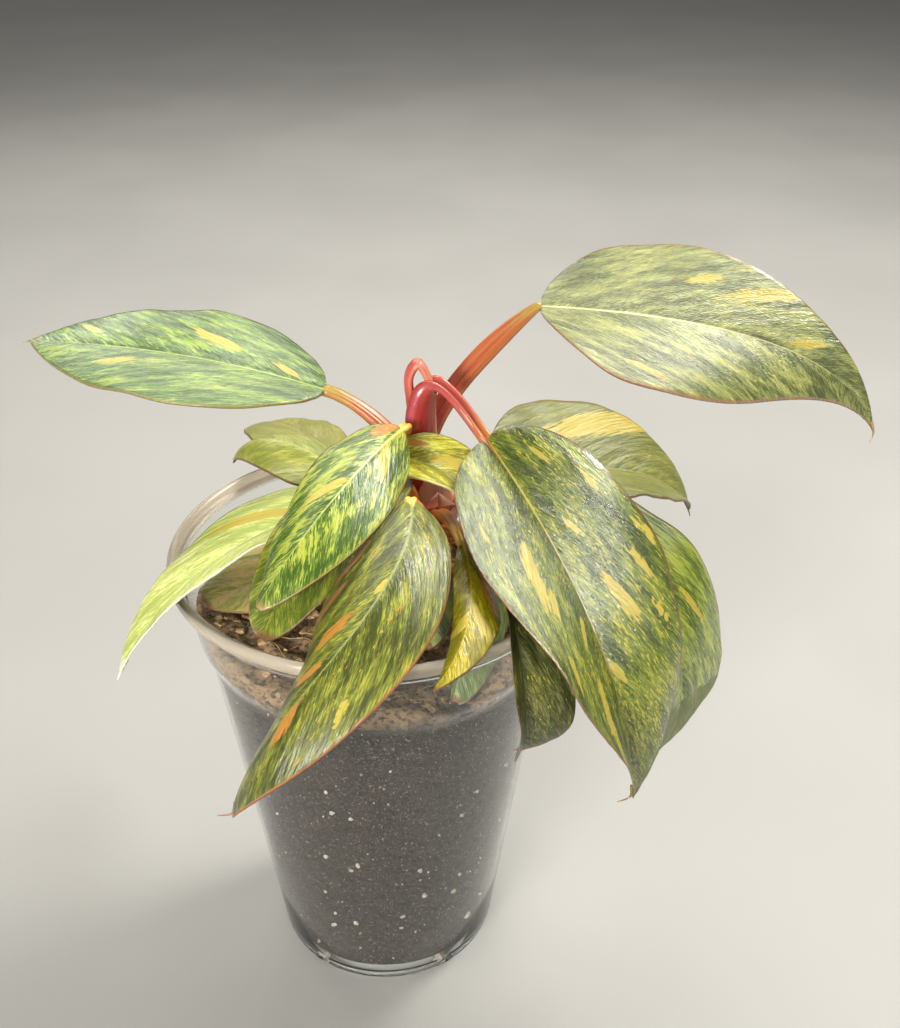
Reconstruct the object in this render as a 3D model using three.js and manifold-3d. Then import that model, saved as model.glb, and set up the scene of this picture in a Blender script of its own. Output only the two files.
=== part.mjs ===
// A young philodendron in a clear drinking cup: leaf blades, petioles, crown, soil and cup.
// Millimetres and degrees, +Z up. The finished group stands on its foot, centred on its origin.
import * as THREE from "three";
import { mergeVertices } from "three/addons/utils/BufferGeometryUtils.js";
import Module from "manifold-3d";

const wasm = await Module();
wasm.setup();

// Cup: clear, with a rolled rim, a shoulder bead under it, a stacking ring and a raised floor.
const CUP_HEIGHT = 120;
const RIM_RADIUS = 49;
const RIM_DEPTH = 3.4;
const RIM_BAND = 2.6;
const SHOULDER_Z = 113.5;
const SHOULDER_RADIUS = 45.6;
const SHOULDER_STEP = 0.9;
const RING_Z = 98;
const RING_RADIUS = 41.6;
const RING_STEP = 1.2;
const FOOT_RADIUS = 26.6;
const FOOT_WIDTH = 1.8;
const CORNER_RADIUS = 29;
const CORNER_HEIGHT = 5;
const FLOOR_RADIUS = 23;
const FLOOR_Z = 4;
const WALL = 0.8;
const RIM_STEPS = 7;
const RIM_START = -60;
const FOOT_ROUND = 0.6;
const CUP_SIDES = 40;
const DRAIN_RADIUS = 1.8;
const DRAIN_Z = 2.2;
const DRAIN_HEADINGS = [-130, -61, 10, 84, 155];

// Soil: it fills the cup to just over the stacking ring, uneven on top, heaped in places against
// the wall, with chips of bark and fibre. Each heap, or hollow, is its heading, height and spread
// in degrees.
const SOIL_GAP = 0.5;
const SOIL_Z = 103;
const SOIL_RINGS = [38, 29, 19, 10];
const SOIL_SIDES = 36;
const SOIL_RELIEF = 0.9;
const SOIL_DOME = 0.6;
const SOIL_FOOT_RISE = 1.2;
const SOIL_HEAPS = [
  [205, 4.5, 36],
  [268, 3.2, 15],
  [296, -3.8, 15],
  [324, 3.4, 16],
];
const CHIP_COUNT = 36;
const CHIP_LENGTH = 6;
const CHIP_WIDTH = 1.5;
const CHIP_DEPTH = 2;
const CHIP_SEED = 11;

// Crown: the short stem that every petiole leaves, leaning a little, in a plain hole in the soil.
// The old leaf sheaths that still wrap it make it thicker round SHEATH_Z.
const CROWN_FOOT = [11, 8, 76];
const CROWN_TOP = [13, 9, 137];
const CROWN_RADIUS = 5;
const CROWN_TIP_RADIUS = 3;
const SHEATH_Z = 124;
const SHEATH_SPAN = 11;
const SHEATH_BULGE = 1.9;
const CROWN_SIDES = 12;
const CROWN_RINGS = 16;
const SCAR_PITCH = 7.6;
const SCAR_HEIGHT = 0.45;

// New leaf: still rolled, bent over like a hairpin out of the sheath of the youngest petiole.
const NEW_LEAF_PATH = [
  [9.8, 9.5, 146],
  [9, 9.5, 153],
  [8.7, 9.4, 158.5],
  [10.6, 9.2, 161.6],
  [12.5, 9, 158.8],
  [14, 8.6, 154],
];
const NEW_LEAF_WIDE = 2.4;
const NEW_LEAF_DEEP = 1.1;

// Touching pieces keep this gap.
const SEAT_GAP = 0.3;

// Blades and petioles.
const BLADE_THICK = 0.8;
const BLADE_ALONG = 14;
const BLADE_ACROSS = 6;
const BLADE_START = 0.004;
const BLADE_END = 0.994;
const BLUNTNESS = 0.55;
const RIB_STEPS = 40;
const WAVE_SHIFT = 0.3;
const TUCK_START = 0.62;
const PETIOLE_SIDES = 8;
const PETIOLE_STEPS = 9;
const PETIOLE_ROUNDNESS = 0.75;
const SHEATH_FADE = 0.3;

const GREEN = "#5f7a3a";
const OLIVE = "#7d7f3a";
const LIME = "#9aac45";
const GOLD = "#a89a35";
const RED_BROWN = "#9a4435";
const GOLD_BROWN = "#b98848";

// One row for each leaf. base is where the blade meets its petiole. heading and rise point the
// midrib there; turn, droop and hook bend it along its length, hook mostly at the tip. broad is
// the share of the length at which the blade is widest, and skew widens its right half. roll
// lifts the right side, twist adds to that towards the tip, fold lifts both halves from the
// midrib and curl bends their margins down. The petiole leaves the crown at the height node,
// turned by swing from the way to its blade and at the angle leave over the horizontal; climb
// and reach are the lengths over which it leaves and arrives straight, and sheath and stalk are
// its half widths below and above the share sheathEnd. wave is the height of the waves along the
// margins and waves their number, and tuck turns the left margin down.
const PLAIN_LEAF = { wave: 0.4, waves: 2.5, tuck: 0, sheathEnd: 0.7 };
const LEAF_ROWS = [
  {
    name: "upper_left", color: GREEN, petiole: GOLD_BROWN, base: [-11, 18, 151.5],
    heading: 169, turn: -16, rise: 16, droop: 29, hook: -6,
    length: 77.5, width: 41.5, broad: 0.37, skew: 0,
    roll: -1, twist: 16, fold: 12, curl: 20,
    node: 130, swing: 0, leave: 60, climb: 12, reach: 10, sheath: 2.1, stalk: 1.6,
  },
  {
    name: "upper_right", color: GREEN, petiole: RED_BROWN, base: [40, 24, 168.5],
    heading: -8, turn: 6, rise: -1, droop: 22, hook: 47,
    length: 93.5, width: 43, broad: 0.27, skew: 0.04,
    roll: -8, twist: -77, fold: 15, curl: 17,
    node: 134, swing: 86, leave: 44, climb: 16, reach: 1, sheath: 2.9, stalk: 1.3,
    sheathEnd: 0.84, wave: 0.8,
  },
  {
    name: "front_right", color: GREEN, petiole: RED_BROWN, base: [25.5, 0, 146.5],
    heading: -60, turn: 8, rise: -23, droop: 51, hook: 14,
    length: 91, width: 42, broad: 0.4, skew: 0.04,
    roll: -41, twist: 59, fold: 30, curl: -2,
    node: 127, swing: 49, leave: 97, climb: 50, reach: 12, sheath: 3.8, stalk: 1.5,
    sheathEnd: 0.46, wave: -0.9, waves: 2.8, tuck: 3,
  },
  {
    name: "back_right", color: LIME, petiole: GOLD_BROWN, base: [30, 19, 126],
    heading: 33, turn: -20, rise: -11, droop: 5, hook: 49,
    length: 69, width: 42, broad: 0.38, skew: -0.01,
    roll: -14, twist: -3, fold: 23, curl: 7,
    node: 118, swing: 0, leave: 40, climb: 8, reach: 6, sheath: 1.7, stalk: 1.3,
    wave: 0.8, waves: 2,
  },
  {
    name: "right", color: GREEN, petiole: GOLD_BROWN, base: [40.5, 1.5, 130],
    heading: -41, turn: -4, rise: -4, droop: 108, hook: 12,
    length: 82, width: 39.5, broad: 0.46, skew: 0,
    roll: 0, twist: -1, fold: 11, curl: 21,
    node: 122, swing: 0, leave: 35, climb: 8, reach: 10, sheath: 1.8, stalk: 1.3,
    wave: 0.7, waves: 3,
  },
  {
    name: "rim_right", color: OLIVE, petiole: GOLD_BROWN, base: [25.5, -22, 129],
    heading: -83, turn: 9, rise: 3, droop: 110, hook: 10,
    length: 50, width: 18, broad: 0.7, skew: -0.36,
    roll: 40, twist: -14, fold: 23, curl: 1,
    node: 116, swing: 0, leave: 50, climb: 12, reach: 8, sheath: 1.9, stalk: 1.2,
  },
  {
    name: "young_front", color: GOLD, petiole: GOLD_BROWN, base: [18.5, -22.5, 133],
    heading: -76, turn: -55, rise: -18, droop: 0, hook: 0,
    length: 39, width: 11, broad: 0.35, skew: -0.31,
    roll: 27, twist: -37, fold: -10, curl: 27,
    node: 122, swing: 10, leave: 35, climb: 10, reach: 8, sheath: 1.7, stalk: 1.1,
  },
  {
    name: "front", color: OLIVE, petiole: GOLD_BROWN, base: [7.5, -23.5, 145],
    heading: -87, turn: -114, rise: 0, droop: 71, hook: 7,
    length: 86, width: 29, broad: 0.45, skew: 0.1,
    roll: 3, twist: -9, fold: -5, curl: 41,
    node: 119, swing: 0, leave: 38, climb: 6, reach: 1, sheath: 1.8, stalk: 1.2,
  },
  {
    name: "left_high", color: LIME, petiole: GOLD_BROWN, base: [6.5, -2, 151],
    heading: -114, turn: -25, rise: 9, droop: 53, hook: 3,
    length: 58, width: 21, broad: 0.46, skew: -0.01,
    roll: 36, twist: -46, fold: -7, curl: 28,
    node: 132, swing: -60, leave: 48, climb: 14, reach: 8, sheath: 1.4, stalk: 1.1,
  },
  {
    name: "left_low", color: GREEN, petiole: GOLD_BROWN, base: [6, 1.5, 136],
    heading: -130, turn: 3, rise: 14, droop: 61, hook: 2,
    length: 54.5, width: 23, broad: 0.5, skew: -0.2,
    roll: 8, twist: 9, fold: 26, curl: 4,
    node: 120, swing: 0, leave: 50, climb: 8, reach: 3, sheath: 1.5, stalk: 1.2,
  },
  {
    name: "left_long", color: LIME, petiole: GOLD_BROWN, base: [1.5, 5.5, 128],
    heading: -159, turn: 34, rise: 10, droop: 37, hook: 13,
    length: 75.5, width: 28.5, broad: 0.43, skew: -0.02,
    roll: 4, twist: -45, fold: 17, curl: 16,
    node: 115, swing: 0, leave: 55, climb: 6, reach: 3, sheath: 1.5, stalk: 1.2,
  },
  {
    name: "soil_left", color: LIME, petiole: GOLD_BROWN, base: [-1, 9, 112.5],
    heading: 201, turn: 10, rise: 7, droop: 21, hook: -11,
    length: 44, width: 26, broad: 0.48, skew: -0.01,
    roll: 1, twist: 5, fold: 12, curl: 21,
    node: 107, swing: 0, leave: 30, climb: 4, reach: 4, sheath: 1.4, stalk: 1.1,
  },
  {
    name: "back_left", color: LIME, petiole: GOLD_BROWN, base: [-7, 24.5, 124],
    heading: 155, turn: -15, rise: 38, droop: 81, hook: 29,
    length: 41, width: 17, broad: 0.35, skew: -0.04,
    roll: 23, twist: -16, fold: -11, curl: 37,
    node: 117, swing: 20, leave: 30, climb: 8, reach: 8, sheath: 1.5, stalk: 1.1,
  },
  {
    name: "back", color: LIME, petiole: GOLD_BROWN, base: [-7, 31.5, 123],
    heading: 125, turn: -15, rise: 8, droop: 39, hook: 25,
    length: 61, width: 22.5, broad: 0.36, skew: -0.11,
    roll: -2, twist: 0, fold: 10, curl: 27,
    node: 112, swing: 0, leave: 40, climb: 8, reach: 8, sheath: 1.5, stalk: 1.1,
  },
  {
    name: "centre", color: GOLD, petiole: GOLD_BROWN, base: [4.5, 2, 142],
    heading: -24, turn: -4, rise: 4, droop: 61, hook: 0,
    length: 33.5, width: 16, broad: 0.35, skew: 0.02,
    roll: -29, twist: 37, fold: 25, curl: 1,
    node: 125, swing: -45, leave: 50, climb: 12, reach: 7, sheath: 1.3, stalk: 1.1,
  },
  {
    name: "soil_right", color: GREEN, petiole: GOLD_BROWN, base: [28.5, -5, 125],
    heading: -110, turn: -4, rise: -16, droop: 34, hook: 0,
    length: 42.5, width: 17.5, broad: 0.51, skew: 0.02,
    roll: -9, twist: -4, fold: -22, curl: 61,
    node: 111, swing: 0, leave: 50, climb: 8, reach: 7, sheath: 1.5, stalk: 1.1,
  },
  {
    name: "soil_front", color: OLIVE, petiole: GOLD_BROWN, base: [9, -3.5, 123],
    heading: -94, turn: 8, rise: 8, droop: 24, hook: -21,
    length: 43, width: 19, broad: 0.44, skew: 0.06,
    roll: 7, twist: 7, fold: 8, curl: 24,
    node: 110, swing: 0, leave: 50, climb: 6, reach: 4, sheath: 1.4, stalk: 1.1,
  },
];
const LEAVES = LEAF_ROWS.map((row) => ({ ...PLAIN_LEAF, ...row }));

const RAD = Math.PI / 180;
const UP = new THREE.Vector3(0, 0, 1);

const vector = (point) => new THREE.Vector3(...point);
const mix = (a, b, t) => a + (b - a) * t;

// Repeatable numbers from 0 to 1.
function seededRandom(seed) {
  let state = seed;
  return () => {
    state = (state * 16807) % 2147483647;
    return state / 2147483647;
  };
}

// Closed geometry with only shared positions left.
function welded(geometry) {
  geometry.deleteAttribute("normal");
  geometry.deleteAttribute("uv");
  return mergeVertices(geometry, 1e-4);
}

function toSolid(geometry) {
  const mesh = new wasm.Mesh({
    numProp: 3,
    vertProperties: new Float32Array(geometry.attributes.position.array),
    triVerts: new Uint32Array(geometry.index.array),
  });
  return new wasm.Manifold(mesh);
}

function toGeometry(solid) {
  const mesh = solid.getMesh();
  const positions = new THREE.BufferAttribute(new Float32Array(mesh.vertProperties), 3);
  const geometry = new THREE.BufferGeometry().setAttribute("position", positions);
  return geometry.setIndex(new THREE.BufferAttribute(new Uint32Array(mesh.triVerts), 1));
}

// The largest single body of a solid, without the scraps that a cut can leave.
function largestBody(solid) {
  const bodies = solid.decompose();
  return bodies.reduce((best, body) => (body.volume() > best.volume() ? body : best));
}

// A cylinder's vertices carried along a path: place(t, angle) gives each point, t from 0 to 1.
function sweep(sides, steps, place) {
  const geometry = welded(new THREE.CylinderGeometry(1, 1, 1, sides, steps));
  const position = geometry.attributes.position;
  for (let i = 0; i < position.count; i++) {
    const x = position.getX(i);
    const z = position.getZ(i);
    const point = place(position.getY(i) + 0.5, x, z);
    position.setXYZ(i, point.x, point.y, point.z);
  }
  return geometry;
}

// Direction of a leaf's midrib at the share s of its length.
function ribDirection(leaf, s) {
  const heading = (leaf.heading + leaf.turn * s) * RAD;
  const pitch = (leaf.rise - leaf.droop * s - leaf.hook * s ** 4) * RAD;
  const flat = Math.cos(pitch);
  return new THREE.Vector3(Math.cos(heading) * flat, Math.sin(heading) * flat, Math.sin(pitch));
}

function ribPoint(leaf, s) {
  const point = vector(leaf.base);
  const steps = s * RIB_STEPS;
  for (let i = 0; i < steps; i++) {
    const share = Math.min(1, steps - i) / RIB_STEPS;
    point.addScaledVector(ribDirection(leaf, (i + 0.5) / RIB_STEPS), share * leaf.length);
  }
  return point;
}

// Half width of a blade as a share of its widest half width.
function outline(leaf, s) {
  const taper = (BLUNTNESS * (1 - leaf.broad)) / leaf.broad;
  const widest = leaf.broad ** BLUNTNESS * (1 - leaf.broad) ** taper;
  return (s ** BLUNTNESS * (1 - s) ** taper) / widest;
}

// How far the waves and the tuck of the margin lift a blade's surface.
function marginLift(leaf, s, v) {
  const reach = Math.abs(v);
  const wave = Math.sin(2 * Math.PI * (leaf.waves * s + (v > 0 ? WAVE_SHIFT : 0)));
  const tuck = v < 0 ? leaf.tuck * Math.max(0, (reach - TUCK_START) / (1 - TUCK_START)) ** 2 : 0;
  return (leaf.wave * wave * reach ** 3 - tuck) * outline(leaf, s);
}

// A point on a blade's middle surface: s along the midrib, v from -1 at the left margin to 1.
function bladePoint(leaf, s, v) {
  const heading = (leaf.heading + leaf.turn * s) * RAD;
  const flatSide = new THREE.Vector3(Math.sin(heading), -Math.cos(heading), 0);
  const flatUp = flatSide.clone().cross(ribDirection(leaf, s));
  const roll = (leaf.roll + leaf.twist * s) * RAD;
  const side = flatSide.clone().multiplyScalar(Math.cos(roll)).addScaledVector(flatUp, Math.sin(roll));
  const up = flatUp.multiplyScalar(Math.cos(roll)).addScaledVector(flatSide, -Math.sin(roll));
  const reach = Math.abs(v);
  const half = (leaf.width / 2) * (1 + Math.sign(v) * leaf.skew) * outline(leaf, s) * reach;
  const lift = (leaf.fold - (leaf.curl * reach) / 2) * RAD;
  const margin = marginLift(leaf, s, v);
  return ribPoint(leaf, s)
    .addScaledVector(side, Math.sign(v) * (half * Math.cos(lift) - margin * Math.sin(lift)))
    .addScaledVector(up, half * Math.sin(lift) + margin * Math.cos(lift));
}

function bladeNormal(leaf, s, v) {
  const step = 0.02;
  const ahead = bladePoint(leaf, Math.min(s + step, 1 - step / 2), v);
  const along = ahead.sub(bladePoint(leaf, Math.max(s - step, step / 2), v));
  const across = bladePoint(leaf, s, Math.min(v + step, 1)).sub(bladePoint(leaf, s, Math.max(v - step, -1)));
  return across.cross(along).normalize();
}

// A closed plate along a leaf's surface, split into triangles alike on both faces.
function bladeGeometry(leaf) {
  const sheet = new THREE.PlaneGeometry(2, 1, BLADE_ACROSS, BLADE_ALONG);
  const grid = sheet.attributes.position;
  const faces = [...sheet.index.array];
  const points = [];
  for (const side of [0.5, -0.5]) {
    for (let i = 0; i < grid.count; i++) {
      const eased = (1 - Math.cos(Math.PI * (grid.getY(i) + 0.5))) / 2;
      const s = mix(BLADE_START, BLADE_END, eased);
      const v = grid.getX(i);
      const normal = bladeNormal(leaf, s, v);
      points.push(...bladePoint(leaf, s, v).addScaledVector(normal, side * BLADE_THICK));
    }
  }
  const under = grid.count;
  const edges = new Set();
  const triangles = [];
  for (let i = 0; i < faces.length; i += 3) {
    const [a, b, c] = faces.slice(i, i + 3);
    triangles.push(a, b, c, c + under, b + under, a + under);
    for (const edge of [[a, b], [b, c], [c, a]]) edges.add(edge.join());
  }
  for (const edge of edges) {
    const [a, b] = edge.split(",").map(Number);
    if (!edges.has([b, a].join())) triangles.push(b, a, a + under, b, a + under, b + under);
  }
  const geometry = new THREE.BufferGeometry();
  geometry.setAttribute("position", new THREE.Float32BufferAttribute(points, 3));
  return geometry.setIndex(triangles);
}

// The crown's axis at the height z.
function crownAxis(z) {
  const foot = vector(CROWN_FOOT);
  const top = vector(CROWN_TOP);
  return foot.lerp(top, (z - foot.z) / (top.z - foot.z));
}

function crownRadius(t) {
  const height = t * (CROWN_TOP[2] - CROWN_FOOT[2]);
  const scar = SCAR_HEIGHT * Math.abs(Math.sin((Math.PI * height) / SCAR_PITCH));
  const sheath = SHEATH_BULGE * Math.exp(-(((CROWN_FOOT[2] + height - SHEATH_Z) / SHEATH_SPAN) ** 2));
  return mix(CROWN_RADIUS, CROWN_TIP_RADIUS, t ** 3) + scar + sheath;
}

function crownGeometry(grow) {
  return sweep(CROWN_SIDES, CROWN_RINGS, (t, x, z) => {
    const height = mix(CROWN_FOOT[2] - grow, CROWN_TOP[2] + grow, t);
    const radius = crownRadius(t) + grow;
    return crownAxis(height).add(new THREE.Vector3(z * radius, x * radius, 0));
  });
}

// The line of a leaf's petiole, from inside the crown to just short of the blade.
function petioleLine(leaf) {
  const start = crownAxis(leaf.node);
  const out = vector(leaf.base).sub(start).setZ(0).normalize();
  out.applyAxisAngle(UP, leaf.swing * RAD);
  const leave = leaf.leave * RAD;
  const first = out.clone().multiplyScalar(Math.cos(leave)).addScaledVector(UP, Math.sin(leave));
  const last = ribDirection(leaf, 0);
  const end = vector(leaf.base).addScaledVector(last, -SEAT_GAP);
  return new THREE.CubicBezierCurve3(
    start,
    start.clone().addScaledVector(first, leaf.climb),
    end.clone().addScaledVector(last, -leaf.reach),
    end,
  );
}

// An oval rod along a curve; halfWidth(t) is its half width and side the way its width points.
function rodGeometry(curve, side, halfWidth, roundness, grow) {
  return sweep(PETIOLE_SIDES, PETIOLE_STEPS, (t, x, z) => {
    const tangent = curve.getTangent(t);
    const wide = side.clone().addScaledVector(tangent, -side.dot(tangent)).normalize();
    const deep = wide.clone().cross(tangent);
    const half = halfWidth(t);
    return curve
      .getPoint(t)
      .addScaledVector(wide, x * (half + grow))
      .addScaledVector(deep, z * (half * roundness + grow));
  });
}

function petioleGeometry(leaf, grow) {
  const line = petioleLine(leaf);
  const out = vector(leaf.base).sub(crownAxis(leaf.node)).setZ(0).normalize();
  const halfWidth = (t) => {
    const upper = THREE.MathUtils.smoothstep(t, leaf.sheathEnd - SHEATH_FADE, leaf.sheathEnd + SHEATH_FADE / 2);
    return mix(leaf.sheath, leaf.stalk, upper);
  };
  return rodGeometry(line, out.clone().cross(UP), halfWidth, PETIOLE_ROUNDNESS, grow);
}

function newLeafGeometry() {
  const line = new THREE.CatmullRomCurve3(NEW_LEAF_PATH.map(vector));
  const halfWidth = (t) => mix(NEW_LEAF_WIDE, NEW_LEAF_WIDE * 0.7, t);
  const side = new THREE.Vector3(0, 1, 0);
  return rodGeometry(line, side, halfWidth, NEW_LEAF_DEEP / NEW_LEAF_WIDE, 0);
}

// Outer radius of the cup's tapered wall at the height z.
function wallRadius(z) {
  if (z < RING_Z) return mix(CORNER_RADIUS, RING_RADIUS, (z - CORNER_HEIGHT) / (RING_Z - CORNER_HEIGHT));
  return mix(RING_RADIUS + RING_STEP, SHOULDER_RADIUS, (z - RING_Z) / (SHOULDER_Z - RING_Z));
}

function cupGeometry() {
  const rimFoot = CUP_HEIGHT - RIM_DEPTH;
  const upperRadius = SHOULDER_RADIUS + SHOULDER_STEP;
  const rim = Array.from({ length: RIM_STEPS }, (_, i) => {
    const angle = mix(RIM_START, 180, i / (RIM_STEPS - 1)) * RAD;
    const radius = RIM_RADIUS + (RIM_BAND / 2) * (Math.cos(angle) - 1);
    return [radius, CUP_HEIGHT + (RIM_DEPTH / 2) * (Math.sin(angle) - 1)];
  });
  const profile = [
    [0, FLOOR_Z],
    [FLOOR_RADIUS, FLOOR_Z],
    [FOOT_RADIUS - FOOT_WIDTH, 0],
    [FOOT_RADIUS, 0],
    [mix(FOOT_RADIUS, CORNER_RADIUS, 0.7), CORNER_HEIGHT * 0.35],
    [CORNER_RADIUS, CORNER_HEIGHT],
    [RING_RADIUS, RING_Z],
    [RING_RADIUS + RING_STEP, RING_Z + RING_STEP],
    [SHOULDER_RADIUS, SHOULDER_Z],
    [upperRadius, SHOULDER_Z + SHOULDER_STEP],
    [upperRadius, rimFoot],
    ...rim,
    [upperRadius - WALL, rimFoot],
    [SHOULDER_RADIUS - WALL, SHOULDER_Z],
    [RING_RADIUS + RING_STEP - WALL, RING_Z + RING_STEP],
    [RING_RADIUS - WALL, RING_Z],
    [CORNER_RADIUS - WALL, CORNER_HEIGHT],
    [FOOT_RADIUS - FOOT_WIDTH + FOOT_ROUND, WALL],
    [FLOOR_RADIUS + FOOT_ROUND / 2, FLOOR_Z + WALL],
    [0, FLOOR_Z + WALL],
  ];
  const points = profile.map(([r, z]) => new THREE.Vector2(r, z));
  const shell = welded(new THREE.LatheGeometry(points, CUP_SIDES).rotateX(Math.PI / 2));
  let solid = toSolid(shell);
  for (const heading of DRAIN_HEADINGS) {
    const drill = welded(new THREE.CylinderGeometry(DRAIN_RADIUS, DRAIN_RADIUS, 14, 8));
    drill.rotateZ(Math.PI / 2).translate(FOOT_RADIUS, 0, DRAIN_Z).rotateZ(heading * RAD);
    solid = solid.subtract(toSolid(drill));
  }
  return toGeometry(largestBody(solid));
}

// Height of the soil's uneven top over its mean.
function soilRelief(x, y) {
  const waves = Math.sin(x * 0.61 + 1.3) * Math.cos(y * 0.53) + Math.sin(x * 0.23 - y * 0.37);
  const reach = Math.hypot(x, y) / RING_RADIUS;
  let height = (SOIL_RELIEF * waves) / 2 + SOIL_DOME * (1 - reach);
  for (const [heading, rise, spread] of SOIL_HEAPS) {
    const turn = Math.atan2(y, x) / RAD - heading;
    const away = THREE.MathUtils.euclideanModulo(turn + 180, 360) - 180;
    height += rise * Math.exp(-((away / spread) ** 2)) * reach ** 2;
  }
  return height;
}

function soilSolid() {
  const inset = WALL + SOIL_GAP;
  const floor = FLOOR_Z + WALL + SOIL_GAP;
  const foot = FLOOR_RADIUS - SOIL_GAP;
  const edge = wallRadius(SOIL_Z) - inset;
  const profile = [
    [0, floor],
    [foot, floor],
    [CORNER_RADIUS - inset - FOOT_ROUND, CORNER_HEIGHT + SOIL_FOOT_RISE],
    [RING_RADIUS - inset, RING_Z],
    [RING_RADIUS + RING_STEP - inset, RING_Z + RING_STEP],
    [edge, SOIL_Z],
    ...SOIL_RINGS.map((radius) => [radius, SOIL_Z]),
    [0, SOIL_Z],
  ];
  const points = profile.map(([r, z]) => new THREE.Vector2(r, z));
  const body = welded(new THREE.LatheGeometry(points, SOIL_SIDES).rotateX(Math.PI / 2));
  const position = body.attributes.position;
  for (let i = 0; i < position.count; i++) {
    if (position.getZ(i) < SOIL_Z - SOIL_RELIEF) continue;
    const x = position.getX(i);
    const y = position.getY(i);
    const z = SOIL_Z + soilRelief(x, y);
    const fit = Math.hypot(x, y) > SOIL_RINGS[0] + 1 ? (wallRadius(z) - inset) / edge : 1;
    position.setXYZ(i, x * fit, y * fit, z);
  }
  let solid = toSolid(body);
  const random = seededRandom(CHIP_SEED);
  for (let i = 0; i < CHIP_COUNT; i++) {
    const heading = random() * 2 * Math.PI;
    const radius = Math.sqrt(random()) * (edge - CHIP_LENGTH / 2 - 1);
    const x = radius * Math.cos(heading);
    const y = radius * Math.sin(heading);
    const size = mix(0.6, 1, random());
    const chip = welded(new THREE.BoxGeometry(CHIP_LENGTH * size, CHIP_WIDTH * size, CHIP_DEPTH));
    chip.rotateX(random() - 0.5).rotateY((random() - 0.5) * 0.5).rotateZ(random() * Math.PI);
    chip.translate(x, y, SOIL_Z + soilRelief(x, y) - CHIP_DEPTH * 0.15);
    solid = solid.add(toSolid(chip));
  }
  return solid.subtract(toSolid(crownGeometry(SEAT_GAP)));
}

const group = new THREE.Group();
const pot = new THREE.Group();
const plant = new THREE.Group();
group.add(pot, plant);

function addMesh(parent, name, geometry, color, roughness) {
  const material = new THREE.MeshStandardMaterial({ color, roughness, metalness: 0 });
  const mesh = new THREE.Mesh(geometry, material);
  mesh.name = name;
  parent.add(mesh);
  return mesh;
}

const cup = addMesh(pot, "cup", cupGeometry(), "#e8ecee", 0.1);
cup.material.transparent = true;
cup.material.opacity = 0.35;
addMesh(pot, "soil", toGeometry(largestBody(soilSolid())), "#3b3029", 0.95);

const crownRoom = toSolid(crownGeometry(SEAT_GAP));
addMesh(plant, "crown_stem", crownGeometry(0), "#8c4a38", 0.6);

// Each petiole is cut back from the crown and from the petioles before it.
const taken = [crownRoom];
const youngest = LEAVES.find((leaf) => leaf.name === "front_right");
for (const leaf of [youngest, ...LEAVES.filter((other) => other !== youngest)]) {
  let petiole = toSolid(petioleGeometry(leaf, 0));
  for (const room of taken) petiole = petiole.subtract(room);
  taken.push(toSolid(petioleGeometry(leaf, SEAT_GAP)));
  addMesh(plant, "petiole_" + leaf.name, toGeometry(largestBody(petiole)), leaf.petiole, 0.45);
  addMesh(plant, "blade_" + leaf.name, bladeGeometry(leaf), leaf.color, 0.35);
}

let newLeaf = toSolid(newLeafGeometry());
for (const room of taken) newLeaf = newLeaf.subtract(room);
addMesh(plant, "new_leaf", toGeometry(largestBody(newLeaf)), "#e2755f", 0.4);

// The part stands on its foot, centred on the origin.
const bounds = new THREE.Box3().setFromObject(group);
const middle = bounds.getCenter(new THREE.Vector3());
for (const section of [pot, plant]) section.position.set(-middle.x, -middle.y, -bounds.min.z);

export default group;
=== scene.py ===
"""Looks of a potted philodendron in a clear cup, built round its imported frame."""

import math
import random

import bmesh
import bpy
import numpy as np
from mathutils import Matrix, Vector, noise


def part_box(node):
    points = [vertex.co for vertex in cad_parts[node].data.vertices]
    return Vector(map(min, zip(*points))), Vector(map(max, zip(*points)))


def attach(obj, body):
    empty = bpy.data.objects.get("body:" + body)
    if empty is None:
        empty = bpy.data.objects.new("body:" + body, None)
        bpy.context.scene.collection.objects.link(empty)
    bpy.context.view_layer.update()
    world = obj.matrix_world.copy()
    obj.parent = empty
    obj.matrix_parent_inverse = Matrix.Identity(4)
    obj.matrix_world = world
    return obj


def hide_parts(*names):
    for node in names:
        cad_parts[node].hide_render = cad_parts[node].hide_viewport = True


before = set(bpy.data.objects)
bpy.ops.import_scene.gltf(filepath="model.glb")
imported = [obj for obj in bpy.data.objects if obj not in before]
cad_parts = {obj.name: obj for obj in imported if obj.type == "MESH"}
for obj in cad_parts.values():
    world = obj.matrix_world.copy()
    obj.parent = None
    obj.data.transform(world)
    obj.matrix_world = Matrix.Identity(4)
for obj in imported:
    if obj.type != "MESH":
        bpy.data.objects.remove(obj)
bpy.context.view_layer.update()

bl_info = {
    "name": "Potted philodendron",
    "version": (1, 0, 0),
    "blender": (4, 5, 0),
    "location": "View3D > Sidebar > Plant",
    "description": "Leaves, stems, potting mix and clear cup of a young philodendron",
    "category": "Object",
}

MM = 0.001
CUP_LOW, CUP_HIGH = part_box("cup")
CUP_AXIS = Vector(((CUP_LOW.x + CUP_HIGH.x) / 2, (CUP_LOW.y + CUP_HIGH.y) / 2, CUP_LOW.z))

# Cup, in millimetres from the centre of its foot.
CUP_HEIGHT = 120
RIM_RADIUS = 49
RIM_DEPTH = 3.4
RIM_BAND = 2.6
SHOULDER_Z = 113.5
SHOULDER_RADIUS = 45.6
SHOULDER_STEP = 0.9
RING_Z = 98
RING_RADIUS = 41.6
RING_STEP = 1.2
FOOT_RADIUS = 26.6
FOOT_WIDTH = 1.8
CORNER_RADIUS = 29
CORNER_HEIGHT = 5
WALL_LEVELS = (20, 40, 60, 80)
FLOOR_RADIUS = 23
FLOOR_Z = 4
CUP_STEPS = 144
DRAIN_RADIUS = 1.8
DRAIN_Z = 2.2
DRAIN_HEADINGS = (-130, -61, 10, 84, 155)

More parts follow.
